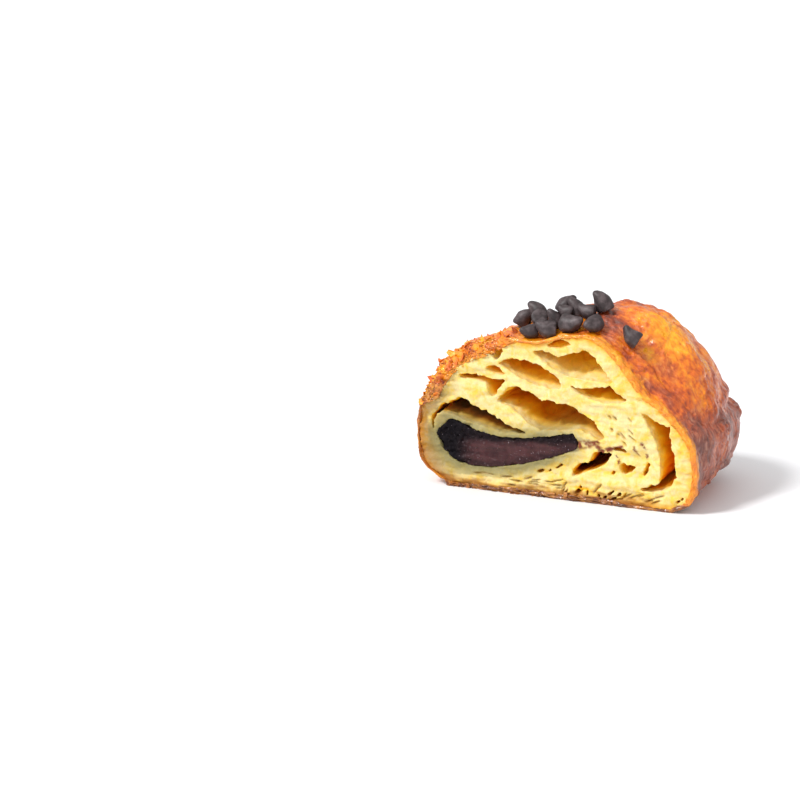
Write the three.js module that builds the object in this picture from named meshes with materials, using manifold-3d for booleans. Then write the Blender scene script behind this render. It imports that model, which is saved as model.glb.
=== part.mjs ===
// Pain au chocolat, the half that shows its cut: a domed laminated pastry, 91 mm wide,
// with a bar of chocolate running through it and chocolate chips scattered on its top.
// Millimetres, +Z up. The cut faces -Y, the closed end +Y, and the base rests on the table.
// Shapes are worked out in the cut's own frame: x from its left edge, z up from the
// table and y back from the cut. The last lines centre the whole over the origin.

import * as THREE from "three";
import { mergeVertices } from "three/addons/utils/BufferGeometryUtils.js";
import Module from "manifold-3d";

// Driving dimensions

const DEPTH = 58; // from the cut to the closed end
const CORE = [44, 17]; // x and z of the line that the layers wrap round
const SHOULDER = 20; // depth at which the squashed cut has become the full dome
const END_RETREAT = 0.13; // how much shorter the domed top is than the lobe under it
const CREASE_HEIGHT = 26; // of the fold between the dome and the lobe
const CREASE_DEPTH = 0.07; // share of the radius that the fold is sunk
const RESTING_PLANE = 0;
const CLEARANCE = 0.3; // between two pieces that touch

const OUTLINE_STEPS = 76; // vertices round the pastry
const DEPTH_STEPS = 19; // rings from the cut to the closed end
const MOUTH_SPACING = 1.9; // between vertices round an air pocket
const MOST_ROUND_MOUTH = 26; // vertices round the largest air pocket
const FILLING_STEPS = 36; // vertices round the bar of chocolate

// The cut's outline, [x, z], clockwise from the lower left: the crust is squashed at the
// upper right, steps at the upper left, and dips below the table to leave a flat base.
const CUT_OUTLINE = [
  [17, -3.2], [11, 0.2], [5.6, 3.2], [1.3, 7], [0, 13.1], [0, 20.7], [1.6, 28.1], [4.4, 33.7],
  [8.1, 38.7], [12.4, 42], [15.2, 43.9], [22.2, 46.4], [29.8, 47.2], [37.8, 47],
  [46.3, 49.3], [53.6, 50], [59.3, 47.8], [64.4, 43.6], [68.4, 38.8], [72.2, 34.3],
  [77.8, 30.6], [82.9, 25.7], [86.5, 20.9], [88.2, 14.9], [88.2, 8], [86.2, 2.8], [82, 0.6],
  [72, -3],
];

// The section behind the cut, where nothing has squashed the dome
const BODY_OUTLINE = [
  [17, -3], [5, 2.6], [0.8, 8], [0, 15], [0.8, 24], [4, 32.6], [10.6, 40], [20, 45.8],
  [31.4, 50.6], [42, 54.2], [52, 56.6], [61, 57.3], [69, 55.6], [75.2, 51.4], [80.2, 46],
  [84.2, 40], [86.8, 33], [89.2, 26.4], [91, 18.4], [89, 10], [83.6, 4.6], [74, -2],
];

// Air pockets between the baked layers. mouth is what each opens on the cut, [x, z], and
// deep is how far it reaches back.
const POCKETS = {
  great_upper: {
    deep: 22,
    mouth: [
      [36.8, 43.7], [39.7, 44], [42.2, 43.5], [44.7, 42.9], [47.5, 43.6], [50.6, 44.8],
      [53.7, 45.2], [55.2, 44.1], [57.1, 42.3], [58.7, 40.7], [60.3, 38.5], [61.6, 36.5],
      [57.6, 36.7], [52, 36.8], [47, 37.5], [43.4, 39.3], [39.9, 41.3],
    ],
  },
  upper_left_oval: {
    deep: 18,
    mouth: [
      [26, 39.4], [27.6, 40.5], [30.2, 41.2], [33.4, 41.1], [36.5, 40.7], [39.7, 39.5],
      [42.6, 38.1], [44.8, 36.4], [46.1, 33.8], [43.6, 33.2], [40.8, 33.4], [37.9, 33.7],
      [35, 34.7], [31.8, 35.9], [29, 37.6],
    ],
  },
  small_oval: {
    deep: 7,
    mouth: [
      [22, 37.4], [23.5, 38.2], [25.4, 38.1], [27.4, 37], [27.7, 35.9], [25.8, 35.9],
      [23.5, 36.4],
    ],
  },
  torn_facet: {
    deep: 5,
    mouth: [
      [22.1, 43.6], [23.7, 44.6], [25.7, 44.5], [27.4, 43.2], [26.4, 41.1], [25.2, 40.1],
      [23.8, 41.3],
    ],
  },
  flap_slit: {
    deep: 12,
    mouth: [
      [12.5, 33.9], [15.1, 35.2], [18.3, 35], [21.6, 34.6], [24.2, 34.2], [28, 34.4],
      [26.8, 32.5], [25.8, 30.6], [24.9, 29.1], [23.7, 29.2], [22.9, 31.2], [21.3, 32.9],
      [17.7, 33.6], [14.5, 33.6],
    ],
  },
  great_middle: {
    deep: 24,
    mouth: [
      [25.9, 27.7], [27.4, 30], [29.7, 32.2], [32.5, 32.8], [34.5, 31.9], [37.3, 31.1],
      [39.2, 29.7], [43.4, 29.5], [47.1, 28.9], [50.3, 28.1], [53.1, 25.8], [56, 24.6],
      [57.9, 22.4], [59.8, 20.2], [57.9, 19.1], [54.6, 20.6], [51.6, 21.6], [46, 20.9],
      [40.7, 20.5], [36.5, 21.6], [32.6, 24.6], [29.1, 26.6],
    ],
  },
  over_chocolate: {
    deep: 20,
    mouth: [
      [7.6, 23.2], [9.9, 25.8], [13.5, 27.5], [16.5, 26.9], [19.1, 24.9], [22.7, 24.1],
      [25.9, 22.3], [30.4, 20.4], [33.7, 19.6], [35.2, 18.5], [31.8, 18.5], [26.9, 18.6],
      [21.7, 19.5], [16.5, 20.6], [11.2, 22.2],
    ],
  },
  left_of_chocolate: {
    deep: 9,
    mouth: [
      [9.8, 24.2], [7.9, 22.9], [6.2, 21.6], [5.2, 19.9], [5.5, 17.4], [4.8, 17.3],
      [4.2, 19.8], [5, 22], [6.6, 23.7], [8.2, 25], [9.4, 25.6],
    ],
  },
  under_top_crust: {
    deep: 6,
    mouth: [
      [41.2, 45.9], [43.1, 47.2], [45.5, 47.8], [47.7, 47.3], [49.6, 46.7], [47.4, 46.2],
      [45.6, 45.4], [43.4, 45.5],
    ],
  },
  dark_right: {
    deep: 18,
    mouth: [
      [46.4, 35.9], [48.6, 34.8], [51.1, 34.1], [53.9, 34.2], [57.6, 34.8], [61, 35.3],
      [63.2, 33.5], [65.3, 32.6], [67.2, 32], [64.4, 31], [60.8, 30.6], [57.1, 30.8],
      [53.3, 31.8], [49.9, 33.3],
    ],
  },
  right_wall: {
    deep: 22,
    mouth: [
      [70.9, 29.1], [73.4, 27.2], [76.1, 26], [79.5, 25.3], [79.4, 22.9], [80.4, 20],
      [80.9, 17.1], [81.4, 14.8], [82, 12.5], [81.7, 10.4], [80.6, 7.9], [77.9, 6.2],
      [74.3, 5.4], [70.3, 5.4], [73.6, 6.9], [76.6, 8.6], [77.3, 11.4], [76.9, 14.9],
      [76.2, 18.4], [74.7, 22.4], [72.5, 25.7],
    ],
  },
  under_chocolate_tip: {
    deep: 15,
    mouth: [
      [49.7, 8.2], [50.9, 10.3], [52.5, 11.5], [55.3, 12.4], [56.2, 14.7], [57.7, 15.7],
      [59.6, 15.5], [62.7, 15.4], [61.1, 14], [60.6, 12.3], [57.8, 10.6], [53.8, 8.8],
      [51, 7.5],
    ],
  },
  beside_tip: {
    deep: 6,
    mouth: [
      [62.6, 17], [64.2, 17.7], [66, 17.4], [66.6, 16.4], [64.8, 16.5], [63.3, 16.5],
    ],
  },
  right_bubble: {
    deep: 9,
    mouth: [
      [65, 12.6], [66.7, 13], [69.4, 12.3], [68.3, 10.9], [66.2, 9.6], [64.9, 10.8],
    ],
  },
  right_crescent: {
    deep: 7,
    mouth: [
      [73, 15], [73.7, 13], [73.2, 10.9], [71.7, 9.5], [72.1, 11.7], [72.6, 13.5],
    ],
  },
  floor_slit: {
    deep: 8,
    mouth: [
      [41.8, 8], [43.7, 9.3], [46.2, 10.4], [46.4, 9.8], [44, 8.6], [42.1, 7.5],
    ],
  },
  floor_slit_2: {
    deep: 5,
    mouth: [
      [38.3, 7.3], [39.9, 8.2], [41, 7.9], [39.9, 7.3],
    ],
  },
  bubble_slit: {
    deep: 5,
    mouth: [
      [60.6, 8.8], [61.9, 9.6], [63.2, 10.6], [63, 9.5], [61.6, 8.8],
    ],
  },
  pleat_1: {
    deep: 7,
    mouth: [
      [48.3, 1.8], [50.5, 2.6], [52, 4.2], [52.6, 6], [53, 5.2], [52.5, 3.4], [51.1, 2.1],
      [48.9, 1.3],
    ],
  },
  pleat_2: {
    deep: 6,
    mouth: [
      [54.4, 1.7], [54.5, 3.5], [54.8, 4.6], [55.1, 4.1], [55, 2.4],
    ],
  },
  pleat_3: {
    deep: 8,
    mouth: [
      [59.3, 1.1], [59.9, 2.5], [62, 3.8], [64.1, 5.8], [63.4, 4.3], [61.6, 2.6], [60.3, 1.3],
    ],
  },
  pleat_4: {
    deep: 8,
    mouth: [
      [61.1, 1.3], [63, 2.5], [64.7, 3.9], [65.5, 5.7], [65.4, 3.8], [63.9, 2.2], [61.8, 1],
    ],
  },
  pleat_5: {
    deep: 6,
    mouth: [
      [57.2, 1.3], [58.1, 2.6], [58.7, 3.4], [58.6, 2], [58, 1.1],
    ],
  },
  corner_slit: {
    deep: 9,
    mouth: [
      [82.2, 3.2], [84, 4.8], [86.7, 6.9], [86.1, 5.8], [84, 3.9], [82.6, 2.8],
    ],
  },
};

// The bar of chocolate, flattened by the bake: its outline on the cut, clockwise from its
// left tip, and how far it runs back, to end inside the closed end
const FILLING = {
  deep: 49,
  mouth: [
    [6.3, 16], [7.3, 17.5], [9, 19], [10.3, 20.6], [12.6, 20.3], [14.9, 19.5], [17.5, 18.5],
    [20.4, 17.8], [23.7, 17.2], [27.9, 17], [32.4, 17.1], [36.6, 17.5], [40.4, 18.2],
    [44.2, 19], [47.6, 19.6], [50.1, 20.2], [50.9, 18.6], [51.4, 16.9], [50.8, 15.7],
    [47.7, 14.2], [43.6, 12.5], [39.8, 11.2], [35.7, 9.9], [31.6, 8.8], [27, 7.9], [23.1, 7.3],
    [19.2, 7.1], [15.6, 7.3], [12.7, 8.2], [10.3, 9.7], [8.3, 11.7], [7.3, 13.9],
  ],
};

// Small functions for curves

const clamp01 = (value) => Math.min(1, Math.max(0, value));
const mix = (a, b, t) => a + (b - a) * t;
const smoothstep = (low, high, value) => {
  const t = clamp01((value - low) / (high - low));
  return t * t * (3 - 2 * t);
};

// Radii of a closed outline about the core, one for each of OUTLINE_SAMPLES directions
const OUTLINE_SAMPLES = 720;

function outlinePoints(corners, count) {
  const points = corners.map(([x, z]) => new THREE.Vector3(x, 0, z));
  const curve = new THREE.CatmullRomCurve3(points, true, "catmullrom", 0.5);
  return curve.getSpacedPoints(count).slice(0, count);
}

function radiusTable(corners) {
  const polar = outlinePoints(corners, OUTLINE_SAMPLES).map((point) => ({
    angle: Math.atan2(point.z - CORE[1], point.x - CORE[0]),
    radius: Math.hypot(point.z - CORE[1], point.x - CORE[0]),
  }));
  polar.sort((a, b) => a.angle - b.angle);
  const first = { angle: polar[0].angle + 2 * Math.PI, radius: polar[0].radius };
  const last = { angle: polar.at(-1).angle - 2 * Math.PI, radius: polar.at(-1).radius };
  return [last, ...polar, first];
}

function radiusAt(table, angle) {
  let low = 0;
  let high = table.length - 1;
  while (high - low > 1) {
    const middle = (low + high) >> 1;
    if (table[middle].angle <= angle) low = middle;
    else high = middle;
  }
  const span = table[high].angle - table[low].angle || 1;
  return mix(table[low].radius, table[high].radius, (angle - table[low].angle) / span);
}

const CUT_RADII = radiusTable(CUT_OUTLINE);
const BODY_RADII = radiusTable(BODY_OUTLINE);

// How far the section has drawn in at a depth: blunt near the base, rounder over the dome
function drawIn(angle, y) {
  const upward = clamp01(Math.sin(angle));
  const bluntness = 4.6 - 1.5 * smoothstep(0.1, 0.9, upward);
  return (1 - clamp01(y / DEPTH) ** bluntness) ** (1 / bluntness);
}

// A point of the cut, carried back to depth y by the form of the whole pastry
function place(x, z, y) {
  const depth = Math.min(Math.max(y, 0), DEPTH);
  const angle = Math.atan2(z - CORE[1], x - CORE[0]);
  const grown = radiusAt(BODY_RADII, angle) / radiusAt(CUT_RADII, angle);
  const ratio = mix(1, grown, smoothstep(0, SHOULDER, depth)) * drawIn(angle, depth);
  let height = CORE[1] + (z - CORE[1]) * ratio;
  const inFold = Math.exp(-(((height - CREASE_HEIGHT) / 2.6) ** 2)) * smoothstep(10, 46, depth);
  const across = CORE[0] + (x - CORE[0]) * ratio * (1 - CREASE_DEPTH * inFold);
  height = Math.max(height, RESTING_PLANE);
  const retreat = END_RETREAT * smoothstep(CREASE_HEIGHT - 2, CREASE_HEIGHT + 6, height);
  return new THREE.Vector3(across, y < 0 ? y : depth * (1 - retreat), height);
}

// Relief of the crust, in millimetres outward: blisters, and the lifted edges of flakes
function crustRelief(x, z, y) {
  const blisters = 0.4 * Math.sin(0.5 * x + 1.3) * Math.sin(0.46 * y + 0.21 * z)
    + 0.3 * Math.sin(0.31 * z - 0.42 * y + 0.8) * Math.cos(0.23 * x);
  const lifted = 0.8 * smoothstep(0.55, 0.95, Math.sin(0.35 * (x + z) + 0.9 * Math.sin(0.16 * y)));
  return (blisters + lifted - 0.5) * smoothstep(1, 6, y) * smoothstep(1, 5, z);
}

// Solids from rings

// A closed solid lofted through rings of equal length, each end closed by a fan
function loftRings(rings) {
  const count = rings[0].length;
  const positions = rings.flat().flatMap((point) => [point.x, point.y, point.z]);
  const middle = (ring) => (
    ring.reduce((sum, point) => sum.add(point), new THREE.Vector3()).divideScalar(count)
  );
  const index = [];
  for (let ring = 0; ring + 1 < rings.length; ring += 1) {
    for (let i = 0; i < count; i += 1) {
      const a = ring * count + i;
      const b = ring * count + ((i + 1) % count);
      index.push(a, b, a + count, b, b + count, a + count);
    }
  }
  const capAt = (ring, forward) => {
    const hub = positions.length / 3;
    positions.push(...middle(rings[ring]).toArray());
    for (let i = 0; i < count; i += 1) {
      const a = ring * count + i;
      const b = ring * count + ((i + 1) % count);
      index.push(...(forward ? [hub, b, a] : [hub, a, b]));
    }
  };
  capAt(0, true);
  capAt(rings.length - 1, false);
  const geometry = new THREE.BufferGeometry();
  geometry.setAttribute("position", new THREE.Float32BufferAttribute(positions, 3));
  geometry.setIndex(index);
  return geometry;
}

// Boolean cuts

const wasm = await Module();
wasm.setup();

function solidFrom(geometry) {
  const bare = geometry.clone();
  bare.deleteAttribute("normal");
  bare.deleteAttribute("uv");
  const welded = mergeVertices(bare, 1e-4);
  return new wasm.Manifold(new wasm.Mesh({
    numProp: 3,
    vertProperties: new Float32Array(welded.attributes.position.array),
    triVerts: new Uint32Array(welded.index.array),
  }));
}

function geometryFrom(solid) {
  const mesh = solid.getMesh();
  const geometry = new THREE.BufferGeometry();
  geometry.setAttribute("position", new THREE.Float32BufferAttribute(mesh.vertProperties, 3));
  geometry.setIndex(Array.from(mesh.triVerts));
  geometry.computeVertexNormals();
  return geometry;
}

const largestPiece = (solid) => solid.decompose().sort((a, b) => b.volume() - a.volume())[0];

// The pastry's outer form

function hullGeometry() {
  const outline = outlinePoints(CUT_OUTLINE, OUTLINE_STEPS);
  const rings = [];
  for (let step = 0; step <= DEPTH_STEPS; step += 1) {
    const y = DEPTH * Math.sin((0.985 * step / DEPTH_STEPS) * (Math.PI / 2));
    rings.push(outline.map((point) => {
      const placed = place(point.x, point.z, y);
      const outward = new THREE.Vector2(point.x - CORE[0], point.z - CORE[1]).normalize();
      const relief = crustRelief(placed.x, placed.z, placed.y);
      placed.x += outward.x * relief;
      placed.z = Math.max(RESTING_PLANE, placed.z + outward.y * relief);
      return placed;
    }));
  }
  return loftRings(rings);
}

// Mouths: the outlines that the pockets and the bar of chocolate have on the cut

// Points round a mouth, each with its inward direction and its reach to the middle line
function mouthPoints(mouth, count) {
  const places = outlinePoints(mouth, count).map((point) => [point.x, point.z]);
  return places.map(([x, z], i) => {
    const [beforeX, beforeZ] = places.at(i - 1);
    const [afterX, afterZ] = places[(i + 1) % count];
    const length = Math.hypot(afterX - beforeX, afterZ - beforeZ);
    const inward = [(afterZ - beforeZ) / length, -(afterX - beforeX) / length];
    const reaches = places.map(([otherX, otherZ]) => {
      const toward = (otherX - x) * inward[0] + (otherZ - z) * inward[1];
      return toward > 1e-4 ? ((otherX - x) ** 2 + (otherZ - z) ** 2) / (2 * toward) : Infinity;
    });
    return { x, z, inward, reach: Math.min(...reaches) };
  });
}

// The same ring with room round it, each corner moved out along both of its edges' normals
function widened(ring, room) {
  const normal = ([ax, az], [bx, bz]) => {
    const length = Math.hypot(bx - ax, bz - az);
    return [-(bz - az) / length, (bx - ax) / length];
  };
  return ring.map((corner, i) => {
    const before = normal(ring.at(i - 1), corner);
    const after = normal(corner, ring[(i + 1) % ring.length]);
    const sum = [before[0] + after[0], before[1] + after[1]];
    const reach = (2 * room) / Math.max(0.8, sum[0] ** 2 + sum[1] ** 2);
    return [corner[0] + sum[0] * reach, corner[1] + sum[1] * reach];
  });
}

// Shares of a pocket's depth that have a ring; the first ring lies in front of the cut
const POCKET_SHARES = [0, 0.3, 0.6, 0.85, 1];
const IN_FRONT = 1;

function pocketSolid({ mouth, deep }) {
  const around = outlinePoints(mouth, 60);
  const girth = around.reduce((sum, point, i) => sum + point.distanceTo(around.at(i - 1)), 0);
  const count = Math.min(MOST_ROUND_MOUTH, Math.max(10, Math.round(girth / MOUTH_SPACING)));
  const points = mouthPoints(mouth, count);
  const widest = Math.max(...points.map((point) => point.reach));
  const ringAt = (share) => points.map(({ x, z, inward, reach }) => {
    // Floors and left walls rise gently to the back, while ceilings run straight in
    const ramp = smoothstep(-0.35, 0.7, 0.45 * inward[0] + 0.9 * inward[1]);
    const closing = 0.85 * reach * mix(0.6 * share ** 3, 1.2 * share ** 1.9, ramp);
    const back = deep * mix(0.5, 1, smoothstep(0, 0.6, reach / widest));
    return place(x + inward[0] * closing, z + inward[1] * closing, share * back);
  });
  const front = points.map(({ x, z }) => place(x, z, -IN_FRONT));
  return solidFrom(loftRings([front, ...POCKET_SHARES.map(ringAt)]));
}

// The bar itself, or with room round it the hollow that it lies in, open at the cut. It
// narrows towards the closed end as the sides of the pastry do.
function fillingSolid(room) {
  const outline = outlinePoints(FILLING.mouth, FILLING_STEPS).map((point) => [point.x, point.z]);
  const ring = widened(outline, room);
  const depths = [0, 10, 20, 30, 40, FILLING.deep];
  const stations = room > 0 ? [-IN_FRONT, ...depths, FILLING.deep + room] : depths;
  return solidFrom(loftRings(stations.map((y) => {
    const narrow = drawIn(0, Math.min(Math.max(y, 0), FILLING.deep));
    return ring.map(([x, z]) => (
      new THREE.Vector3(mix(CORE[0], x, narrow), y, mix(CORE[1], z, narrow))
    ));
  })));
}

// The pieces

const hull = solidFrom(hullGeometry());
const filling = fillingSolid(0);
let pastry = hull.subtract(fillingSolid(CLEARANCE));
for (const pocket of Object.values(POCKETS)) pastry = pastry.subtract(pocketSolid(pocket));
pastry = largestPiece(pastry);

// Chocolate chips: drops with a flat base and a bent tip, each lying on the crust

const CHIP_RADIUS = 2.3;
const CHIP_HEIGHT = 5.3;
const CHIP_SIDES = 10;
const CHIP_SUNK = 0.4; // how far a chip sits into the soft crust
const TIP_BEND = 1.3; // sideways reach of the bent tip
const LYING = 45; // degrees of lean from which a chip lies, with its tip bent up
// The chip's profile as shares of its radius and height, from the base up to the tip
const CHIP_PROFILE = [[0, 0], [0.9, 0], [1, 0.12], [0.95, 0.38], [0.8, 0.64], [0.48, 0.88], [0, 1]];

// Where the chips lie: x and y, how far the axis leans from upright and which way it leans
// (degrees, from +X towards +Y), the size against the usual chip, and how far other chips
// lift it off the crust
const CHIPS = [
  { at: [28.8, 13.2], lean: 28, toward: 10, size: 1.15, lift: 0 },
  { at: [33.4, 13.2], lean: 22, toward: 186, size: 1.15, lift: 0.4 },
  { at: [35.8, 8.2], lean: 122, toward: 114, size: 1.1, lift: 1.0 },
  { at: [34.8, 2.9], lean: 100, toward: 222, size: 0.95, lift: 0 },
  { at: [40.4, 2.9], lean: 84, toward: 204, size: 1.2, lift: 0 },
  { at: [41.2, 7.2], lean: 12, toward: 205, size: 1, lift: 0.2 },
  { at: [42.4, 12.2], lean: 24, toward: 20, size: 1.15, lift: 0.9 },
  { at: [46.6, 10.4], lean: 12, toward: 200, size: 1.1, lift: 0.9 },
  { at: [44.2, 8.4], lean: 84, toward: 192, size: 0.95, lift: 2.2 },
  { at: [47.6, 3.4], lean: 92, toward: 346, size: 1.25, lift: 0.1 },
  { at: [51.2, 7.4], lean: 84, toward: 188, size: 1.05, lift: 0.7 },
  { at: [54.6, 3.2], lean: 108, toward: 245, size: 1.1, lift: 0.3 },
  { at: [54.6, 11], lean: 18, toward: 200, size: 1.2, lift: 0 },
  { at: [66, 4.4], lean: 58, toward: 188, size: 1.1, lift: 1.7 },
];

// A chip about its own middle, leaning; swell makes it larger, for the room round it
function chipGeometry({ lean, toward, size }, swell) {
  const profile = CHIP_PROFILE.map(([radius, height]) => (
    new THREE.Vector2(radius * CHIP_RADIUS, (height - 0.4) * CHIP_HEIGHT)
  ));
  const drop = new THREE.LatheGeometry(profile, CHIP_SIDES).rotateX(Math.PI / 2);
  const position = drop.attributes.position;
  const direction = THREE.MathUtils.degToRad(toward);
  const reach = lean < LYING ? TIP_BEND : -TIP_BEND;
  for (let i = 0; i < position.count; i += 1) {
    const bend = reach * smoothstep(0.5, 1.1, position.getZ(i) / CHIP_HEIGHT + 0.4);
    position.setX(i, position.getX(i) + bend * Math.cos(direction));
    position.setY(i, position.getY(i) + bend * Math.sin(direction));
  }
  const hinge = new THREE.Vector3(-Math.sin(direction), Math.cos(direction), 0);
  drop.applyMatrix4(new THREE.Matrix4().makeRotationAxis(hinge, THREE.MathUtils.degToRad(lean)));
  return drop.scale(size * swell, size * swell, size * swell);
}

const crust = new THREE.Mesh(hullGeometry(), new THREE.MeshStandardMaterial({ side: THREE.DoubleSide }));
const plumbLine = new THREE.Raycaster();

function crustHeight(x, y) {
  plumbLine.set(new THREE.Vector3(x, y, 2 * DEPTH), new THREE.Vector3(0, 0, -1));
  return plumbLine.intersectObject(crust)[0].point.z;
}

// Each chip gives way to the crust and to the chips that were laid before it
function layChips() {
  const raised = hull.translate([0, 0, CLEARANCE]);
  const rooms = [];
  return CHIPS.map((chip) => {
    const plain = chipGeometry(chip, 1);
    plain.computeBoundingBox();
    const seat = crustHeight(...chip.at) - plain.boundingBox.min.z - CHIP_SUNK + chip.lift;
    const spot = [...chip.at, seat];
    let solid = solidFrom(plain.translate(...spot)).subtract(raised);
    for (const room of rooms) solid = solid.subtract(room);
    rooms.push(solidFrom(chipGeometry(chip, 1 + CLEARANCE / CHIP_RADIUS).translate(...spot)));
    return largestPiece(solid);
  });
}

// The scene graph

const group = new THREE.Group();

function addPiece(name, geometry, color, roughness) {
  const material = new THREE.MeshStandardMaterial({ color, roughness, metalness: 0 });
  const mesh = new THREE.Mesh(geometry, material);
  mesh.name = name;
  group.add(mesh);
}

addPiece("pastry", geometryFrom(pastry), "#e59a3c", 0.55);
addPiece("chocolate_filling", geometryFrom(filling), "#33201f", 0.35);
layChips().forEach((chip, index) => {
  addPiece(`chip_${String(index + 1).padStart(2, "0")}`, geometryFrom(chip), "#4b3f44", 0.6);
});

const bounds = new THREE.Box3().setFromObject(group);
const centre = bounds.getCenter(new THREE.Vector3());
group.position.set(-centre.x, -centre.y, -bounds.min.z);

export default group;
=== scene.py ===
"""Pain au chocolat, the half that shows its cut, with its looks made in Blender.

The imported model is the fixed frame. Shapes are worked out in millimetres in the cut's own
frame, as in the part's source: x from the left edge of the cut, y back from the cut and z
up from the table. Bench.to_world turns them into the frame's metres at the very end.
"""

from __future__ import annotations

import itertools
import logging
import math
from dataclasses import dataclass, field
from enum import Enum
from functools import cached_property
from typing import Any, Callable

import bmesh
import bpy
import numpy as np
from mathutils import Matrix, Vector
from mathutils.bvhtree import BVHTree


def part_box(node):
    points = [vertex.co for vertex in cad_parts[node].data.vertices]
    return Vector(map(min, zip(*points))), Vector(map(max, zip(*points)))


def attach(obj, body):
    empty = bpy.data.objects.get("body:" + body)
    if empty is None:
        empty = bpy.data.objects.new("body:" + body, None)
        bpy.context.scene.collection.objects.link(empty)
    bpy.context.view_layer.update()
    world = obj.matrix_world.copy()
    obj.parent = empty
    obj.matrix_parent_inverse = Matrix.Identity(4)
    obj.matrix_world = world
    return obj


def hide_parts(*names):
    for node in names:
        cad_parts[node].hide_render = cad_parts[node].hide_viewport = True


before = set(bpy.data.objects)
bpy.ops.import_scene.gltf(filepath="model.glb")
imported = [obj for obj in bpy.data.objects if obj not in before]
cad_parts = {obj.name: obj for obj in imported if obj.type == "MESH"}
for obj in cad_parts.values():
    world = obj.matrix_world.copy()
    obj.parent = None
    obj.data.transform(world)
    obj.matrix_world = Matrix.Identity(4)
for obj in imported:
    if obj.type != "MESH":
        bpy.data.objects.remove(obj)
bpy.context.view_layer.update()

LOG = logging.getLogger("pain_au_chocolat")

MM = 0.001
NOISE_GAIN = 1.6  # brings gradient noise up to about -1 to 1
MERGE = 1e-4  # vertices closer than this are one, in millimetres
IN_FRONT = -2.5  # where each cutter starts, so that it opens the cut for certain

Corners = tuple[tuple[float, float], ...]
Array = np.ndarray


# Small functions for numbers and colours


def smoothstep(low: float, high: float, value: Array) -> Array:
    """Ease from 0 at low to 1 at high; low may be the larger one."""
    t = np.clip((value - low) / (high - low), 0.0, 1.0)
    return t * t * (3.0 - 2.0 * t)


def mix(a: Array, b: Array, t: Array) -> Array:
    """Blend a into b as t goes from 0 to 1."""
    return a + (b - a) * t


def linear(code: str) -> tuple[float, float, float, float]:
    """Turn an sRGB hex colour into linear values.

    Args:
        code: The colour as "#rrggbb".

    Returns:
        Red, green, blue and an alpha of 1.
    """
    shares = [int(code[i:i + 2], 16) / 255.0 for i in (1, 3, 5)]
    red, green, blue = (s / 12.92 if s <= 0.04045 else ((s + 0.055) / 1.055) ** 2.4 for s in shares)
    return red, green, blue, 1.0


class Noise:
    """Smooth gradient noise over points in millimetres, the same on each run.

    A number added to the points moves them far enough to meet another part of it, so that
    patterns made for different ends don't repeat each other.
    """

    def __init__(self, seed: int) -> None:
        """Draw the lattice's gradients.

        Args:
            seed: Seeds the draw.
        """
        rng = np.random.default_rng(seed)
        self.order = np.tile(rng.permutation(256), 2)
        slopes = rng.normal(size=(256, 3))
        self.slopes = slopes / np.linalg.norm(slopes, axis=1, keepdims=True)

    def at(self, points: Array, size: float | tuple[float, float, float]) -> Array:
        """Noise from about -1 to 1.

        Args:
            points: One row of x, y, z for each place.
            size: How far apart its bumps are, along each axis or along all.

        Returns:
            One value for each row.
        """
        scaled = points / np.asarray(size, dtype=float)
        cell = np.floor(scaled).astype(int)
        inside = scaled - cell
        ease = inside ** 3 * (inside * (inside * 6.0 - 15.0) + 10.0)
        total = np.zeros(len(points))
        for corner in itertools.product((0, 1), repeat=3):
            step = np.array(corner)
            x, y, z = ((cell + step) & 255).T
            slope = self.slopes[self.order[self.order[self.order[x] + y] + z]]
            weight = np.prod(np.where(step == 1, ease, 1.0 - ease), axis=1)
            total += weight * np.einsum("ij,ij->i", slope, inside - step)
        return total * NOISE_GAIN

    def layered(self, points: Array, size: float | tuple[float, float, float], octaves: int) -> Array:
        """Noise of several sizes, each half as large and half as strong as the last.

        Args:
            points: One row of x, y, z for each place.
            size: The largest size.
            octaves: How many sizes.

        Returns:
            One value for each row.
        """
        sizes = np.asarray(size, dtype=float)
        return sum(self.at(points + 37.0 * k, sizes / 2 ** k) / 2 ** k for k in range(octaves))


# Small functions for meshes and nodes


def loft(law: Callable[[Array, Array], Array], around: int, along: int) -> bmesh.types.BMesh:
    """Roll a grid into a closed solid that follows a law.

    Args:
        law: Gives the places, in millimetres, for shares around and along the solid.
        around: Faces around it.
        along: Faces along it.

    Returns:
        The solid, its ends closed and its faces outward.
    """
    bm = bmesh.new()
    bmesh.ops.create_grid(bm, x_segments=around, y_segments=along, size=0.5)
    shares = np.array([vert.co for vert in bm.verts]) + 0.5
    for vert, place in zip(bm.verts, law(shares[:, 0], shares[:, 1])):
        vert.co = place
    bmesh.ops.remove_doubles(bm, verts=bm.verts, dist=MERGE)
    bmesh.ops.holes_fill(bm, edges=[edge for edge in bm.edges if edge.is_boundary], sides=0)
    bmesh.ops.triangulate(bm, faces=bm.faces)
    bmesh.ops.recalc_face_normals(bm, faces=bm.faces)
    return bm


def new_object(name: str, bm: bmesh.types.BMesh) -> bpy.types.Object:
    """Put a bmesh into the scene as an object at the origin, and free it.

    Args:
        name: The object's and its mesh's name.
        bm: The mesh, which is freed.

    Returns:
        The object.
    """
    mesh = bpy.data.meshes.new(name)
    bm.to_mesh(mesh)
    bm.free()
    thing = bpy.data.objects.new(name, mesh)
    bpy.context.scene.collection.objects.link(thing)
    return thing


def bake_modifiers(thing: bpy.types.Object) -> None:
    """Replace an object's mesh by what its modifiers make of it.

    Args:
        thing: The object, which is left without modifiers.
    """
    evaluated = thing.evaluated_get(bpy.context.evaluated_depsgraph_get())
    mesh = bpy.data.meshes.new_from_object(evaluated)
    thing.modifiers.clear()
    old, thing.data = thing.data, mesh
    bpy.data.meshes.remove(old)


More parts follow.
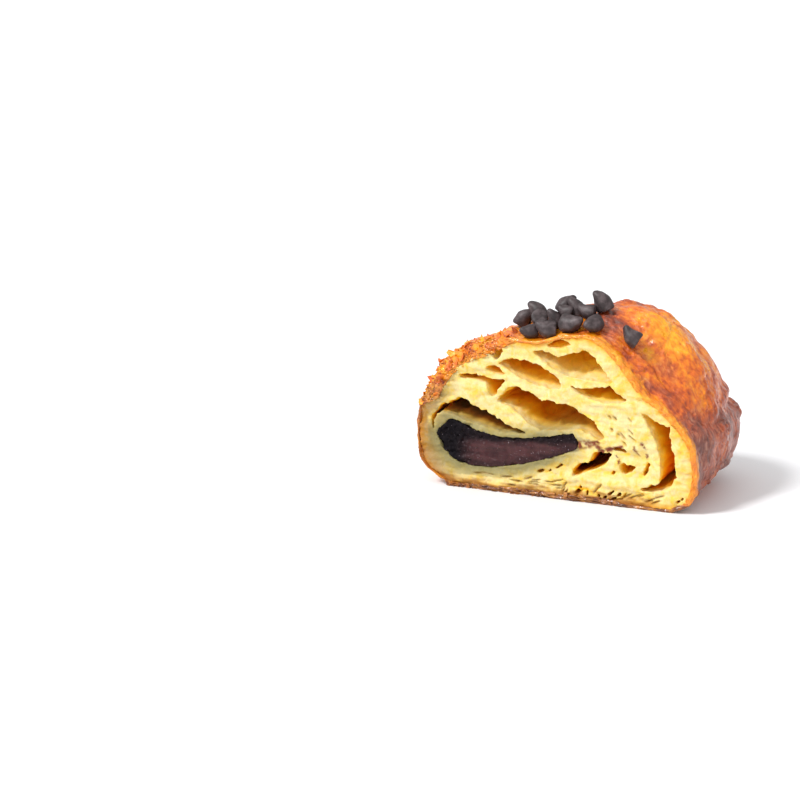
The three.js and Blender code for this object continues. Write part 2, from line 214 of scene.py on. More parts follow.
def vertex_places(mesh: bpy.types.Mesh) -> Array:
    """A mesh's vertices, one row each.

    Args:
        mesh: The mesh.

    Returns:
        Rows of x, y, z.
    """
    flat = np.empty(len(mesh.vertices) * 3)
    mesh.vertices.foreach_get("co", flat)
    return flat.reshape(-1, 3)


def vertex_normals(mesh: bpy.types.Mesh) -> Array:
    """A mesh's vertex normals, one row each.

    Args:
        mesh: The mesh.

    Returns:
        Rows of x, y, z.
    """
    flat = np.empty(len(mesh.vertices) * 3)
    mesh.vertex_normals.foreach_get("vector", flat)
    return flat.reshape(-1, 3)


def move_vertices(mesh: bpy.types.Mesh, places: Array) -> None:
    """Set a mesh's vertices."""
    mesh.vertices.foreach_set("co", np.ascontiguousarray(places, dtype=np.float32).ravel())
    mesh.update()


def paint(mesh: bpy.types.Mesh, name: str, values: Array) -> None:
    """Keep one number for each vertex as a named attribute that a material can read."""
    layer = mesh.attributes.new(name, "FLOAT", "POINT")
    layer.data.foreach_set("value", np.ascontiguousarray(values, dtype=np.float32))


def shade_smooth(mesh: bpy.types.Mesh) -> None:
    """Turn smooth shading on for each face."""
    mesh.polygons.foreach_set("use_smooth", np.ones(len(mesh.polygons), dtype=bool))


def add_node(
    tree: bpy.types.NodeTree,
    kind: str,
    settings: dict[str, Any] | None = None,
    stops: list[tuple[float, str]] | None = None,
    **inputs: Any,
) -> bpy.types.Node:
    """Add a node, set it and link it.

    Args:
        tree: The material's node tree.
        kind: The node's type.
        settings: Its properties by name.
        stops: Where it has a colour ramp, the ramp's places and hex colours.
        inputs: Its sockets, by name with _ for a space or by in_ and a number. A socket
            of another node is linked, and anything else is a value.

    Returns:
        The node.
    """
    node = tree.nodes.new(kind)
    for name, value in (settings or {}).items():
        setattr(node, name, value)
    if stops:
        ramp = node.color_ramp
        while len(ramp.elements) < len(stops):
            ramp.elements.new(1.0)
        for element, (place, code) in zip(ramp.elements, stops):
            element.position = place
            element.color = linear(code)
    for name, value in inputs.items():
        key = int(name[3:]) if name.startswith("in_") else name.replace("_", " ")
        socket = node.inputs[key]
        if isinstance(value, bpy.types.NodeSocket):
            tree.links.new(value, socket)
        else:
            socket.default_value = value
    return node


def new_material(name: str) -> tuple[bpy.types.Material, bpy.types.NodeTree]:
    """Make an empty material.

    Args:
        name: What the material is.

    Returns:
        The material and its cleared node tree.
    """
    material = bpy.data.materials.new(name)
    material.use_nodes = True
    material.node_tree.nodes.clear()
    return material, material.node_tree


# The form of the pastry, shared by all its pieces


def closed_curve(corners: Corners, shares: Array) -> Array:
    """Places on the closed smooth curve through some corners.

    Args:
        corners: The corners, as x and z.
        shares: Shares of the curve's length.

    Returns:
        Rows of x and z.
    """
    points = np.array(corners, dtype=float)
    steps = np.linspace(0, len(points), 60 * len(points) + 1)
    first = np.floor(steps).astype(int) % len(points)
    t = (steps - np.floor(steps))[:, None]
    a, b, c, d = (points[(first + k) % len(points)] for k in (-1, 0, 1, 2))
    curve = 0.5 * (2 * b + (c - a) * t + (2 * a - 5 * b + 4 * c - d) * t ** 2
                   + (3 * b - a - 3 * c + d) * t ** 3)
    run = np.concatenate([[0], np.cumsum(np.linalg.norm(np.diff(curve, axis=0), axis=1))])
    wanted = shares * run[-1]
    return np.stack([np.interp(wanted, run, curve[:, k]) for k in (0, 1)], axis=1)


@dataclass(frozen=True)
class Mouth:
    """What the knife opened: an air pocket between layers, or the chocolate.

    corners is its outline on the cut, deep how far it reaches back, and the third number how
    strongly painted shade darkens its inside, from 0 to 1.
    """

    corners: Corners
    deep: float
    tone: float = 0.4
    steps: int = 120

    @cached_property
    def table(self) -> Array:
        """What the outline is at each of its steps.

        Returns:
            Rows of x, z, the inward direction and the reach to the middle line.
        """
        places = closed_curve(self.corners, np.arange(self.steps) / self.steps)
        run = np.roll(places, -1, axis=0) - np.roll(places, 1, axis=0)
        run /= np.linalg.norm(run, axis=1, keepdims=True)
        ahead = np.roll(places, -1, axis=0)
        area = np.sum(places[:, 0] * ahead[:, 1] - ahead[:, 0] * places[:, 1])
        inward = np.stack([-run[:, 1], run[:, 0]], axis=1) * np.sign(area)
        offsets = places[None] - places[:, None]
        toward = np.einsum("ijk,ik->ij", offsets, inward)
        square = np.sum(offsets ** 2, axis=2)
        reach = np.min(np.where(toward > 1e-4, square / np.maximum(2 * toward, 1e-4), 99.0), axis=1)
        reach = sum(np.roll(reach, k) for k in range(-2, 3)) / 5
        return np.column_stack([places, inward, reach])

    def at(self, around: Array) -> tuple[Array, Array, Array]:
        """What the outline is at some shares of the way round.

        Args:
            around: The shares.

        Returns:
            The places, the inward directions and the reaches.
        """
        shares = np.arange(self.steps) / self.steps
        columns = [np.interp(around, shares, column, period=1) for column in self.table.T]
        return np.stack(columns[:2], axis=1), np.stack(columns[2:4], axis=1), columns[4]

    def gap(self, flat: Array) -> Array:
        """How far places on the cut are from this outline.

        Args:
            flat: Rows of x and z.

        Returns:
            One distance for each row, less than 0 inside the outline and at most 9 mm.
        """
        gap = np.full(len(flat), 9.0)
        near = np.all((flat > self.table[:, :2].min(0) - 3) & (flat < self.table[:, :2].max(0) + 3), axis=1)
        here = flat[near][:, None]
        a = self.table[None, :, :2]
        b = np.roll(a, -1, axis=1)
        t = np.clip(np.sum((here - a) * (b - a), axis=2) / np.sum((b - a) ** 2, axis=2), 0, 1)
        away = np.min(np.linalg.norm(here - a - t[..., None] * (b - a), axis=2), axis=1)
        crosses = (a[..., 1] > here[..., 1]) != (b[..., 1] > here[..., 1])
        rise = np.where(np.abs(b[..., 1] - a[..., 1]) < 1e-9, 1e-9, b[..., 1] - a[..., 1])
        level = a[..., 0] + (here[..., 1] - a[..., 1]) * (b[..., 0] - a[..., 0]) / rise
        inside = np.sum(crosses & (here[..., 0] < level), axis=1) % 2 == 1
        gap[near] = np.where(inside, -away, away)
        return gap


@dataclass(frozen=True)
class PastryForm:
    """The law of the whole form: how a place on the cut carries back into the pastry."""

    depth: float = 58.0
    core: tuple[float, float] = (44.0, 17.0)
    shoulder: float = 20.0
    end_retreat: float = 0.13
    crease_height: float = 26.0
    crease_depth: float = 0.07
    # Outlines of the cut and of the section behind it, clockwise from the lower left
    cut_outline: Corners = (
        (17, -3.2), (11, 0.2), (5.6, 3.2), (1.3, 7), (0, 13.1), (0, 20.7), (1.6, 28.1),
        (4.4, 33.7), (8.1, 38.7), (12.4, 42), (15.2, 43.9), (22.2, 46.4), (29.8, 47.2),
        (37.8, 47), (46.3, 49.3), (53.6, 50), (59.3, 47.8), (64.4, 43.6), (68.4, 38.8),
        (72.2, 34.3), (77.8, 30.6), (82.9, 25.7), (86.5, 20.9), (88.2, 14.9), (88.2, 8),
        (86.2, 2.8), (82, 0.6), (72, -3),
    )
    body_outline: Corners = (
        (17, -3), (5, 2.6), (0.8, 8), (0, 15), (0.8, 24), (4, 32.6), (10.6, 40), (20, 45.8),
        (31.4, 50.6), (42, 54.2), (52, 56.6), (61, 57.3), (69, 55.6), (75.2, 51.4), (80.2, 46),
        (84.2, 40), (86.8, 33), (89.2, 26.4), (91, 18.4), (89, 10), (83.6, 4.6), (74, -2),
    )

    def radius(self, corners: Corners, angle: Array) -> Array:
        """How far an outline is from the core in some directions.

        Args:
            corners: The outline.
            angle: The directions, as angles round the core.

        Returns:
            One distance for each direction.
        """
        offsets = closed_curve(corners, np.linspace(0, 1, 900, endpoint=False)) - np.array(self.core)
        angles = np.arctan2(offsets[:, 1], offsets[:, 0])
        order = np.argsort(angles)
        reach = np.linalg.norm(offsets, axis=1)[order]
        return np.interp(angle, angles[order], reach, period=2 * np.pi)

    def draw_in(self, angle: Array, y: Array) -> Array:
        """How far the section has drawn in at a depth, blunter near the base.

        Args:
            angle: Directions round the core.
            y: Depths from the cut.

        Returns:
            The section's size as a share of its full size.
        """
        upward = np.clip(np.sin(angle), 0, 1)
        blunt = 4.6 - 1.5 * smoothstep(0.1, 0.9, upward)
        return (1 - np.clip(y / self.depth, 0, 1) ** blunt) ** (1 / blunt)

    def share_at(self, angle: Array, ratio: Array) -> Array:
        """The share of the depth at which the section has drawn in to a ratio."""
        blunt = 4.6 - 1.5 * smoothstep(0.1, 0.9, np.clip(np.sin(angle), 0, 1))
        return (1 - ratio ** blunt) ** (1 / blunt)

    def growth(self, angle: Array, depth: Array) -> Array:
        """The section's size at a depth, against its size at the cut."""
        grown = self.radius(self.body_outline, angle) / self.radius(self.cut_outline, angle)
        return mix(1.0, grown, smoothstep(0, self.shoulder, depth)) * self.draw_in(angle, depth)

    def retreat(self, height: Array) -> Array:
        """How much shorter the dome is than the lobe under it, at a height."""
        return self.end_retreat * smoothstep(self.crease_height - 2, self.crease_height + 6, height)

    def place(self, x: Array, z: Array, y: Array) -> Array:
        """Carry places on the cut back by the form of the whole pastry.

        Args:
            x: Places across the cut.
            z: Their heights on it.
            y: How far back each is carried.

        Returns:
            Rows of x, y, z.
        """
        depth = np.clip(y, 0, self.depth)
        angle = np.arctan2(z - self.core[1], x - self.core[0])
        ratio = self.growth(angle, depth)
        height = self.core[1] + (z - self.core[1]) * ratio
        fold = np.exp(-((height - self.crease_height) / 2.6) ** 2) * smoothstep(10, 46, depth)
        across = self.core[0] + (x - self.core[0]) * ratio * (1 - self.crease_depth * fold)
        height = np.maximum(height, 0.0)
        back = np.where(y < 0, y, depth * (1 - self.retreat(height)))
        return np.stack([across, back, height], axis=1)

    def cut_place(self, points: Array) -> Array:
        """Find the places on the cut that some points inside the pastry come from.

        Args:
            points: One row of x, y, z for each place.

        Returns:
            Rows of x and z.
        """
        depth = np.clip(points[:, 1] / (1 - self.retreat(points[:, 2])), 0, self.depth - 0.5)
        offset = points[:, (0, 2)] - np.array(self.core)
        ratio = self.growth(np.arctan2(offset[:, 1], offset[:, 0]), depth)
        return np.array(self.core) + offset / np.maximum(ratio, 0.05)[:, None]

    def skin(self, points: Array) -> Array:
        """How deep points lie under the smooth outside.

        Args:
            points: One row of x, y, z for each place.

        Returns:
            One depth for each row, in millimetres, which is never too large.
        """
        depth = np.clip(points[:, 1] / (1 - self.retreat(points[:, 2])), 0, self.depth - 0.5)
        offset = points[:, (0, 2)] - np.array(self.core)
        angle = np.arctan2(offset[:, 1], offset[:, 0])
        fold = np.exp(-((points[:, 2] - self.crease_height) / 2.6) ** 2) * smoothstep(10, 46, depth)
        reach = self.radius(self.cut_outline, angle) * self.growth(angle, depth)
        reach *= 1 - self.crease_depth * fold * np.abs(np.cos(angle))
        radial = (reach - np.linalg.norm(offset, axis=1)) * 0.92
        return np.minimum(radial, points[:, 2])

    def crust(self, angle: Array) -> Array:
        """How thick the crust is at the cut, with a wide flaky band at the upper left.

        Args:
            angle: Directions round the core.

        Returns:
            One thickness for each direction.
        """
        degrees = np.degrees(angle) % 360
        flaky = smoothstep(108, 130, degrees) * smoothstep(172, 164, degrees)
        left = smoothstep(172, 184, degrees) * smoothstep(235, 215, degrees)
        base = smoothstep(205, 225, degrees) * smoothstep(325, 300, degrees)
        right = smoothstep(74, 50, degrees) + smoothstep(330, 345, degrees)
        return 0.9 + 4.4 * flaky - 0.4 * left + 0.9 * base + 0.8 * right

    def relief(self, points: Array) -> Array:
        """The crust's coarse relief: blisters, and the lifted edges of flakes.

        Args:
            points: One row of x, y, z for each place.

        Returns:
            How far each place stands out.
        """
        x, y, z = points.T
        blisters = 0.4 * np.sin(0.5 * x + 1.3) * np.sin(0.46 * y + 0.21 * z)
        blisters += 0.3 * np.sin(0.31 * z - 0.42 * y + 0.8) * np.cos(0.23 * x)
        lifted = 0.8 * smoothstep(0.55, 0.95, np.sin(0.35 * (x + z) + 0.9 * np.sin(0.16 * y)))
        return (blisters + lifted - 0.5) * smoothstep(1, 6, y) * smoothstep(1, 5, z)


FORM = PastryForm()

POCKETS = {
    "great_upper": Mouth((
        (36.8, 43.7), (39.7, 44), (42.2, 43.5), (44.7, 42.9), (47.5, 43.6), (50.6, 44.8),
        (53.7, 45.2), (55.2, 44.1), (57.1, 42.3), (58.7, 40.7), (60.3, 38.5), (61.6, 36.5),
        (57.6, 36.7), (52, 36.8), (47, 37.5), (43.4, 39.3), (39.9, 41.3),
    ), 22, 0.3),
    "upper_left_oval": Mouth((
        (26, 39.4), (27.6, 40.5), (30.2, 41.2), (33.4, 41.1), (36.5, 40.7), (39.7, 39.5),
        (42.6, 38.1), (44.8, 36.4), (46.1, 33.8), (43.6, 33.2), (40.8, 33.4), (37.9, 33.7),
        (35, 34.7), (31.8, 35.9), (29, 37.6),
    ), 18, 0.38),
    "small_oval": Mouth((
        (22, 37.4), (23.5, 38.2), (25.4, 38.1), (27.4, 37), (27.7, 35.9), (25.8, 35.9),
        (23.5, 36.4),
    ), 7, 0.32),
    "torn_facet": Mouth((
        (22.1, 43.6), (23.7, 44.6), (25.7, 44.5), (27.4, 43.2), (26.4, 41.1), (25.2, 40.1),
        (23.8, 41.3),
    ), 5, 0.42),
    "flap_slit": Mouth((
        (12.5, 33.9), (15.1, 35.2), (18.3, 35), (21.6, 34.6), (24.2, 34.2), (28, 34.4),
        (26.8, 32.5), (25.8, 30.6), (24.9, 29.1), (23.7, 29.2), (22.9, 31.2), (21.3, 32.9),
        (17.7, 33.6), (14.5, 33.6),
    ), 12, 0.34),
    "great_middle": Mouth((
        (25.9, 27.7), (27.4, 30), (29.7, 32.2), (32.5, 32.8), (34.5, 31.9), (37.3, 31.1),
        (39.2, 29.7), (43.4, 29.5), (47.1, 28.9), (50.3, 28.1), (53.1, 25.8), (56, 24.6),
        (57.9, 22.4), (59.8, 20.2), (57.9, 19.1), (54.6, 20.6), (51.6, 21.6), (46, 20.9),
        (40.7, 20.5), (36.5, 21.6), (32.6, 24.6), (29.1, 26.6),
    ), 24, 0.55),
    "over_chocolate": Mouth((
        (7.6, 23.2), (9.9, 25.8), (13.5, 27.5), (16.5, 26.9), (19.1, 24.9), (22.7, 24.1),
        (25.9, 22.3), (30.4, 20.4), (33.7, 19.6), (35.2, 18.5), (31.8, 18.5), (26.9, 18.6),
        (21.7, 19.5), (16.5, 20.6), (11.2, 22.2),
    ), 20, 1),
    "left_of_chocolate": Mouth((
        (9.8, 24.2), (7.9, 22.9), (6.2, 21.6), (5.2, 19.9), (5.5, 17.4), (4.8, 17.3),
        (4.2, 19.8), (5, 22), (6.6, 23.7), (8.2, 25), (9.4, 25.6),
    ), 9, 0.75),
    "under_top_crust": Mouth((
        (41.2, 45.9), (43.1, 47.2), (45.5, 47.8), (47.7, 47.3), (49.6, 46.7), (47.4, 46.2),
        (45.6, 45.4), (43.4, 45.5),
    ), 6, 0.95),
    "dark_right": Mouth((
        (46.4, 35.9), (48.6, 34.8), (51.1, 34.1), (53.9, 34.2), (57.6, 34.8), (61, 35.3),
        (63.2, 33.5), (65.3, 32.6), (67.2, 32), (64.4, 31), (60.8, 30.6), (57.1, 30.8),
        (53.3, 31.8), (49.9, 33.3),
    ), 18, 0.85),
    "right_wall": Mouth((
        (70.9, 29.1), (73.4, 27.2), (76.1, 26), (79.5, 25.3), (79.4, 22.9), (80.4, 20),
        (80.9, 17.1), (81.4, 14.8), (82, 12.5), (81.7, 10.4), (80.6, 7.9), (77.9, 6.2),
        (74.3, 5.4), (70.3, 5.4), (73.6, 6.9), (76.6, 8.6), (77.3, 11.4), (76.9, 14.9),
        (76.2, 18.4), (74.7, 22.4), (72.5, 25.7),
    ), 22, 0.5),
    "under_chocolate_tip": Mouth((
        (49.7, 8.2), (50.9, 10.3), (52.5, 11.5), (55.3, 12.4), (56.2, 14.7), (57.7, 15.7),
        (59.6, 15.5), (62.7, 15.4), (61.1, 14), (60.6, 12.3), (57.8, 10.6), (53.8, 8.8),
        (51, 7.5),
    ), 15, 1),
    "beside_tip": Mouth((
        (62.6, 17), (64.2, 17.7), (66, 17.4), (66.6, 16.4), (64.8, 16.5), (63.3, 16.5),
    ), 6, 0.5),
    "right_bubble": Mouth((
        (65, 12.6), (66.7, 13), (69.4, 12.3), (68.3, 10.9), (66.2, 9.6), (64.9, 10.8),
    ), 9, 0.6),
    "right_crescent": Mouth((
        (73, 15), (73.7, 13), (73.2, 10.9), (71.7, 9.5), (72.1, 11.7), (72.6, 13.5),
    ), 7, 0.15),
    "floor_slit": Mouth((
        (41.8, 8), (43.7, 9.3), (46.2, 10.4), (46.4, 9.8), (44, 8.6), (42.1, 7.5),
    ), 8, 0.8),
    "floor_slit_2": Mouth((
        (38.3, 7.3), (39.9, 8.2), (41, 7.9), (39.9, 7.3),
    ), 5, 0.8),
    "bubble_slit": Mouth((
        (60.6, 8.8), (61.9, 9.6), (63.2, 10.6), (63, 9.5), (61.6, 8.8),
    ), 5, 0.6),
    "pleat_1": Mouth((
        (48.3, 1.8), (50.5, 2.6), (52, 4.2), (52.6, 6), (53, 5.2), (52.5, 3.4), (51.1, 2.1),
        (48.9, 1.3),
    ), 7, 0.8),
    "pleat_2": Mouth((
        (54.4, 1.7), (54.5, 3.5), (54.8, 4.6), (55.1, 4.1), (55, 2.4),
    ), 6, 0.7),
    "pleat_3": Mouth((
        (59.3, 1.1), (59.9, 2.5), (62, 3.8), (64.1, 5.8), (63.4, 4.3), (61.6, 2.6), (60.3, 1.3),
    ), 8, 0.9),
    "pleat_4": Mouth((
        (61.1, 1.3), (63, 2.5), (64.7, 3.9), (65.5, 5.7), (65.4, 3.8), (63.9, 2.2), (61.8, 1),
    ), 8, 0.9),
    "pleat_5": Mouth((
        (57.2, 1.3), (58.1, 2.6), (58.7, 3.4), (58.6, 2), (58, 1.1),
    ), 6, 0.9),
    "corner_slit": Mouth((
        (82.2, 3.2), (84, 4.8), (86.7, 6.9), (86.1, 5.8), (84, 3.9), (82.6, 2.8),
    ), 9, 0.7),
}

# The bar of chocolate, from its left tip round
FILLING = Mouth((
    (6.3, 16), (7.3, 17.5), (9, 19), (10.3, 20.6), (12.6, 20.3), (14.9, 19.5), (17.5, 18.5),
    (20.4, 17.8), (23.7, 17.2), (27.9, 17), (32.4, 17.1), (36.6, 17.5), (40.4, 18.2), (44.2, 19),
    (47.6, 19.6), (50.1, 20.2), (50.9, 18.6), (51.4, 16.9), (50.8, 15.7), (47.7, 14.2),
    (43.6, 12.5), (39.8, 11.2), (35.7, 9.9), (31.6, 8.8), (27, 7.9), (23.1, 7.3), (19.2, 7.1),
    (15.6, 7.3), (12.7, 8.2), (10.3, 9.7), (8.3, 11.7), (7.3, 13.9),
), 49)


class Bench:
    """Where the cut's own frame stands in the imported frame."""

    def __init__(self) -> None:
        """Find the cut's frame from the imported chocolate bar, whose left tip is known."""
        left = FILLING.corners[0][0]
        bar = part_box("chocolate_filling")
        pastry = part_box("pastry")
        self.origin = np.array([left * MM - bar[0][0], -pastry[0][1], -pastry[0][2]])

    def to_world(self, points: Array) -> Array:
        """Turn millimetres on the cut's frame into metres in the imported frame."""
        return np.asarray(points) * MM - self.origin

    def settle(self, thing: bpy.types.Object) -> None:
        """Carry an object's mesh from the cut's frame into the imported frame."""
        move_vertices(thing.data, self.to_world(vertex_places(thing.data)))


# Finishes


@dataclass(frozen=True)
class CrustFinish:
    """Laminated dough baked golden under an egg wash: glossy, streaked and blistered."""

    grain: float = 0.5 * MM  # spacing of the finest wrinkles, coarse enough to show
    fleck: float = 1.5 * MM  # spacing of the small darker flecks
    streak: float = 5.5 * MM  # spacing of the darker patches

    def material(self) -> bpy.types.Material:
        """Make the material.

        Returns:
            A material that reads the bake, mauve, rim and base attributes, of which bake and mauve also carry
            painted shade.
        """
        material, tree = new_material("egg_washed_crust")
        place = add_node(tree, "ShaderNodeTexCoord").outputs["Object"]
        read = {name: add_node(tree, "ShaderNodeAttribute", {"attribute_name": name}).outputs["Fac"]
                for name in ("bake", "mauve_and_shade", "rim", "base")}
        patches = add_node(tree, "ShaderNodeTexNoise", Vector=place, Scale=1 / self.streak,
                           Detail=4.0, Roughness=0.5, Distortion=0.6).outputs["Fac"]
        # The dough was rolled up, so its wrinkles and flecks run round it
        round_ = add_node(tree, "ShaderNodeMapping", Vector=place, Scale=(0.45, 1.5, 0.45)).outputs[0]
        flecks = add_node(tree, "ShaderNodeTexNoise", Vector=round_, Scale=1 / self.fleck,
                          Detail=5.0, Roughness=0.62, Distortion=0.6).outputs["Fac"]
        fine = add_node(tree, "ShaderNodeTexNoise", Vector=place, Scale=1 / self.grain,
                        Detail=3.0, Roughness=0.6).outputs["Fac"]
        level = read["bake"]
        for source, strength in ((patches, 1.15), (flecks, 0.85), (fine, 0.12)):
            level = add_node(tree, "ShaderNodeMath", {"operation": "MULTIPLY_ADD"},
                             in_0=source, in_1=strength, in_2=level).outputs[0]
        level = add_node(tree, "ShaderNodeMath", {"operation": "SUBTRACT"},
                         in_0=level, in_1=1.1).outputs[0]
        # From the pale gold of a fold's shelter to the dark brown where the heat struck, darker still where
        # painted shade falls
        colour = add_node(tree, "ShaderNodeValToRGB", Fac=level, stops=[
            (0.0, "#ffb01c"), (0.24, "#f28a08"), (0.44, "#d86506"), (0.64, "#ae4408"),
            (0.82, "#82300c"), (1.0, "#501a0a"),
        ]).outputs["Color"]
        # Mauve streaked colour: the pale stops are painted highlights, and the mauve also carries painted
        # shade on the lower right lobe
        mauve_and_highlights = add_node(tree, "ShaderNodeValToRGB", Fac=flecks, stops=[
            (0.34, "#c08a70"), (0.46, "#a65a40"), (0.58, "#8a3f28"), (0.72, "#5a2416"),
        ]).outputs["Color"]
        colour = add_node(tree, "ShaderNodeMix", {"data_type": "RGBA"},
                          Factor=read["mauve_and_shade"], in_6=colour, in_7=mauve_and_highlights).outputs[2]
        edge = add_node(tree, "ShaderNodeValToRGB", Fac=flecks, stops=[
            (0.3, "#f8b02c"), (0.5, "#ec8e12"), (0.72, "#cc620a"),
        ]).outputs["Color"]
        colour = add_node(tree, "ShaderNodeMix", {"data_type": "RGBA"}, Factor=read["rim"],
                          in_6=colour, in_7=edge).outputs[2]
        burnt = add_node(tree, "ShaderNodeValToRGB", Fac=flecks, stops=[
            (0.3, "#d4943c"), (0.44, "#a8682a"), (0.56, "#7c431c"), (0.68, "#46200e"),
        ]).outputs["Color"]
        colour = add_node(tree, "ShaderNodeMix", {"data_type": "RGBA"}, Factor=read["base"],
                          in_6=colour, in_7=burnt).outputs[2]
        height = add_node(tree, "ShaderNodeMath", {"operation": "MULTIPLY_ADD"},
                          in_0=flecks, in_1=2.0, in_2=fine).outputs[0]
        bump = add_node(tree, "ShaderNodeBump", Height=height, Strength=0.7, Distance=0.24 * MM)
        gloss = add_node(tree, "ShaderNodeMapRange", Value=patches, in_1=0.3, in_2=0.7,
                         in_3=0.24, in_4=0.42).outputs[0]
        shader = add_node(tree, "ShaderNodeBsdfPrincipled", Base_Color=colour, Roughness=gloss,
                          IOR=1.5, Coat_Weight=0.35, Coat_Roughness=0.1,
                          Subsurface_Weight=0.08, Subsurface_Radius=(1.0, 0.45, 0.2),
                          Subsurface_Scale=0.8 * MM, Normal=bump.outputs["Normal"])
        add_node(tree, "ShaderNodeOutputMaterial", Surface=shader.outputs[0])
        return material


@dataclass(frozen=True)
class CrumbFinish:
    """The torn inside of the dough: cream where it is cut, with painted shade from amber to nearly black down
    in its pockets.
    """

    grain: float = 0.5 * MM  # spacing of the crumb's finest pores, coarse enough to show
    web: float = 3.0 * MM  # spacing of the yellower and paler patches

    def material(self) -> bpy.types.Material:
        """Make the material.

        Returns:
            A material that reads the attributes the crumb is painted with.
        """
        material, tree = new_material("laminated_crumb")
        names = ("skin", "left", "amber", "shade", "smear", "slit", "toast")
        read = {name: add_node(tree, "ShaderNodeAttribute", {"attribute_name": name}).outputs["Fac"]
                for name in names}
        place = add_node(tree, "ShaderNodeTexCoord").outputs["Object"]
        fine = add_node(tree, "ShaderNodeTexNoise", Vector=place, Scale=1 / self.grain,
                        Detail=4.0, Roughness=0.6).outputs["Fac"]
        patches = add_node(tree, "ShaderNodeTexNoise", Vector=place, Scale=1 / self.web,
                           Detail=4.0, Roughness=0.6, Distortion=0.5).outputs["Fac"]
        # Just under the crust the crumb is golden, and tan at the left, and then it is cream
        gold = add_node(tree, "ShaderNodeValToRGB", Fac=read["skin"], stops=[
            (0.0, "#dc7e10"), (0.14, "#f0a422"), (0.28, "#efc666"), (0.5, "#e8d290"), (1.0, "#e6d498"),
        ]).outputs["Color"]
        tan = add_node(tree, "ShaderNodeValToRGB", Fac=read["skin"], stops=[
            (0.0, "#a8682a"), (0.16, "#b68246"), (0.4, "#ab8a58"), (0.75, "#a88c5c"), (1.0, "#b49c68"),
        ]).outputs["Color"]
        cut = add_node(tree, "ShaderNodeMix", {"data_type": "RGBA"}, Factor=read["left"],
                       in_6=gold, in_7=tan).outputs[2]
        yellow = add_node(tree, "ShaderNodeMapRange", Value=patches, in_1=0.44, in_2=0.66,
                          in_3=0.0, in_4=0.9).outputs[0]
        cut = add_node(tree, "ShaderNodeMix", {"data_type": "RGBA", "blend_type": "MULTIPLY"},
                       Factor=yellow, in_6=cut, in_7=linear("#ffe878")).outputs[2]
        # Down in the pockets painted shade turns the skins yellow, then amber, then nearly black
        pocket = add_node(tree, "ShaderNodeValToRGB", Fac=read["amber"], stops=[
            (0.0, "#ead694"), (0.14, "#f8d260"), (0.3, "#ffc428"), (0.5, "#ffb008"), (0.66, "#f28a04"),
            (0.84, "#963802"), (1.0, "#2c0e05"),
        ]).outputs["Color"]
        inside = add_node(tree, "ShaderNodeMath", {"operation": "MULTIPLY", "use_clamp": True},
                          in_0=read["amber"], in_1=9.0).outputs[0]
        colour = add_node(tree, "ShaderNodeMix", {"data_type": "RGBA"}, Factor=inside,
                          in_6=cut, in_7=pocket).outputs[2]
        # shade and slit are painted shade, round the chocolate and in the open slits; toast and smear are
        # real browning and chocolate
        stains_and_shade = (("shade", "#837b50"), ("slit", "#b07c28"), ("toast", "#9d6428"), ("smear", "#7a3a28"))
        for name, code in stains_and_shade:
            colour = add_node(tree, "ShaderNodeMix", {"data_type": "RGBA"}, Factor=read[name],
                              in_6=colour, in_7=linear(code)).outputs[2]
        mottled = add_node(tree, "ShaderNodeMapRange", Value=fine, in_1=0.3, in_2=0.7,
                           in_3=0.92, in_4=1.04).outputs[0]
        colour = add_node(tree, "ShaderNodeVectorMath", {"operation": "SCALE"},
                          in_0=colour, Scale=mottled).outputs[0]
        bump = add_node(tree, "ShaderNodeBump", Height=fine, Strength=0.5, Distance=0.15 * MM)
        shader = add_node(tree, "ShaderNodeBsdfPrincipled", Base_Color=colour, Roughness=0.65,
                          IOR=1.3, Subsurface_Weight=0.35, Subsurface_Radius=(1.0, 0.7, 0.25),
                          Subsurface_Scale=1.6 * MM, Normal=bump.outputs["Normal"])
        add_node(tree, "ShaderNodeOutputMaterial", Surface=shader.outputs[0])
        return material


@dataclass(frozen=True)
class FillingFinish:
    """Baked dark chocolate: smeared smooth and glossy by the knife, crumbly at one end."""

    grain: float = 0.9 * MM  # size of the grains of set chocolate
    speck: float = 0.45 * MM  # size of the specks of light on its crystals

    def material(self) -> bpy.types.Material:
        """Make the material.

        Returns:
            A material that reads the gloss attribute.
        """
        material, tree = new_material("baked_dark_chocolate")
        gloss = add_node(tree, "ShaderNodeAttribute", {"attribute_name": "gloss"}).outputs["Fac"]
        place = add_node(tree, "ShaderNodeTexCoord").outputs["Object"]
        grains = add_node(tree, "ShaderNodeTexNoise", Vector=place, Scale=1 / self.grain,
                          Detail=4.0, Roughness=0.7).outputs["Fac"]
        specks = add_node(tree, "ShaderNodeTexNoise", Vector=place, Scale=1 / self.speck,
                          Detail=1.0).outputs["Fac"]
        colour = add_node(tree, "ShaderNodeMix", {"data_type": "RGBA"}, Factor=gloss,
                          in_6=linear("#0e080e"), in_7=linear("#451c1f")).outputs[2]
        shine = add_node(tree, "ShaderNodeMapRange", Value=specks, in_1=0.73, in_2=0.78,
                         in_3=0.0, in_4=0.7).outputs[0]
        colour = add_node(tree, "ShaderNodeMix", {"data_type": "RGBA"}, Factor=shine,
                          in_6=colour, in_7=linear("#b7a4ac")).outputs[2]
        rough = add_node(tree, "ShaderNodeMapRange", Value=gloss, in_1=0.0, in_2=1.0,
                         in_3=0.6, in_4=0.15).outputs[0]
        wet = add_node(tree, "ShaderNodeMapRange", Value=gloss, in_1=0.0, in_2=1.0,
                       in_3=0.0, in_4=0.5).outputs[0]
        bump = add_node(tree, "ShaderNodeBump", Height=grains, Strength=0.7, Distance=0.45 * MM)
        shader = add_node(tree, "ShaderNodeBsdfPrincipled", Base_Color=colour, Roughness=rough,
                          IOR=1.22, Coat_Weight=wet, Coat_Roughness=0.1,
                          Coat_Normal=bump.outputs["Normal"], Normal=bump.outputs["Normal"])
        add_node(tree, "ShaderNodeOutputMaterial", Surface=shader.outputs[0])
        return material


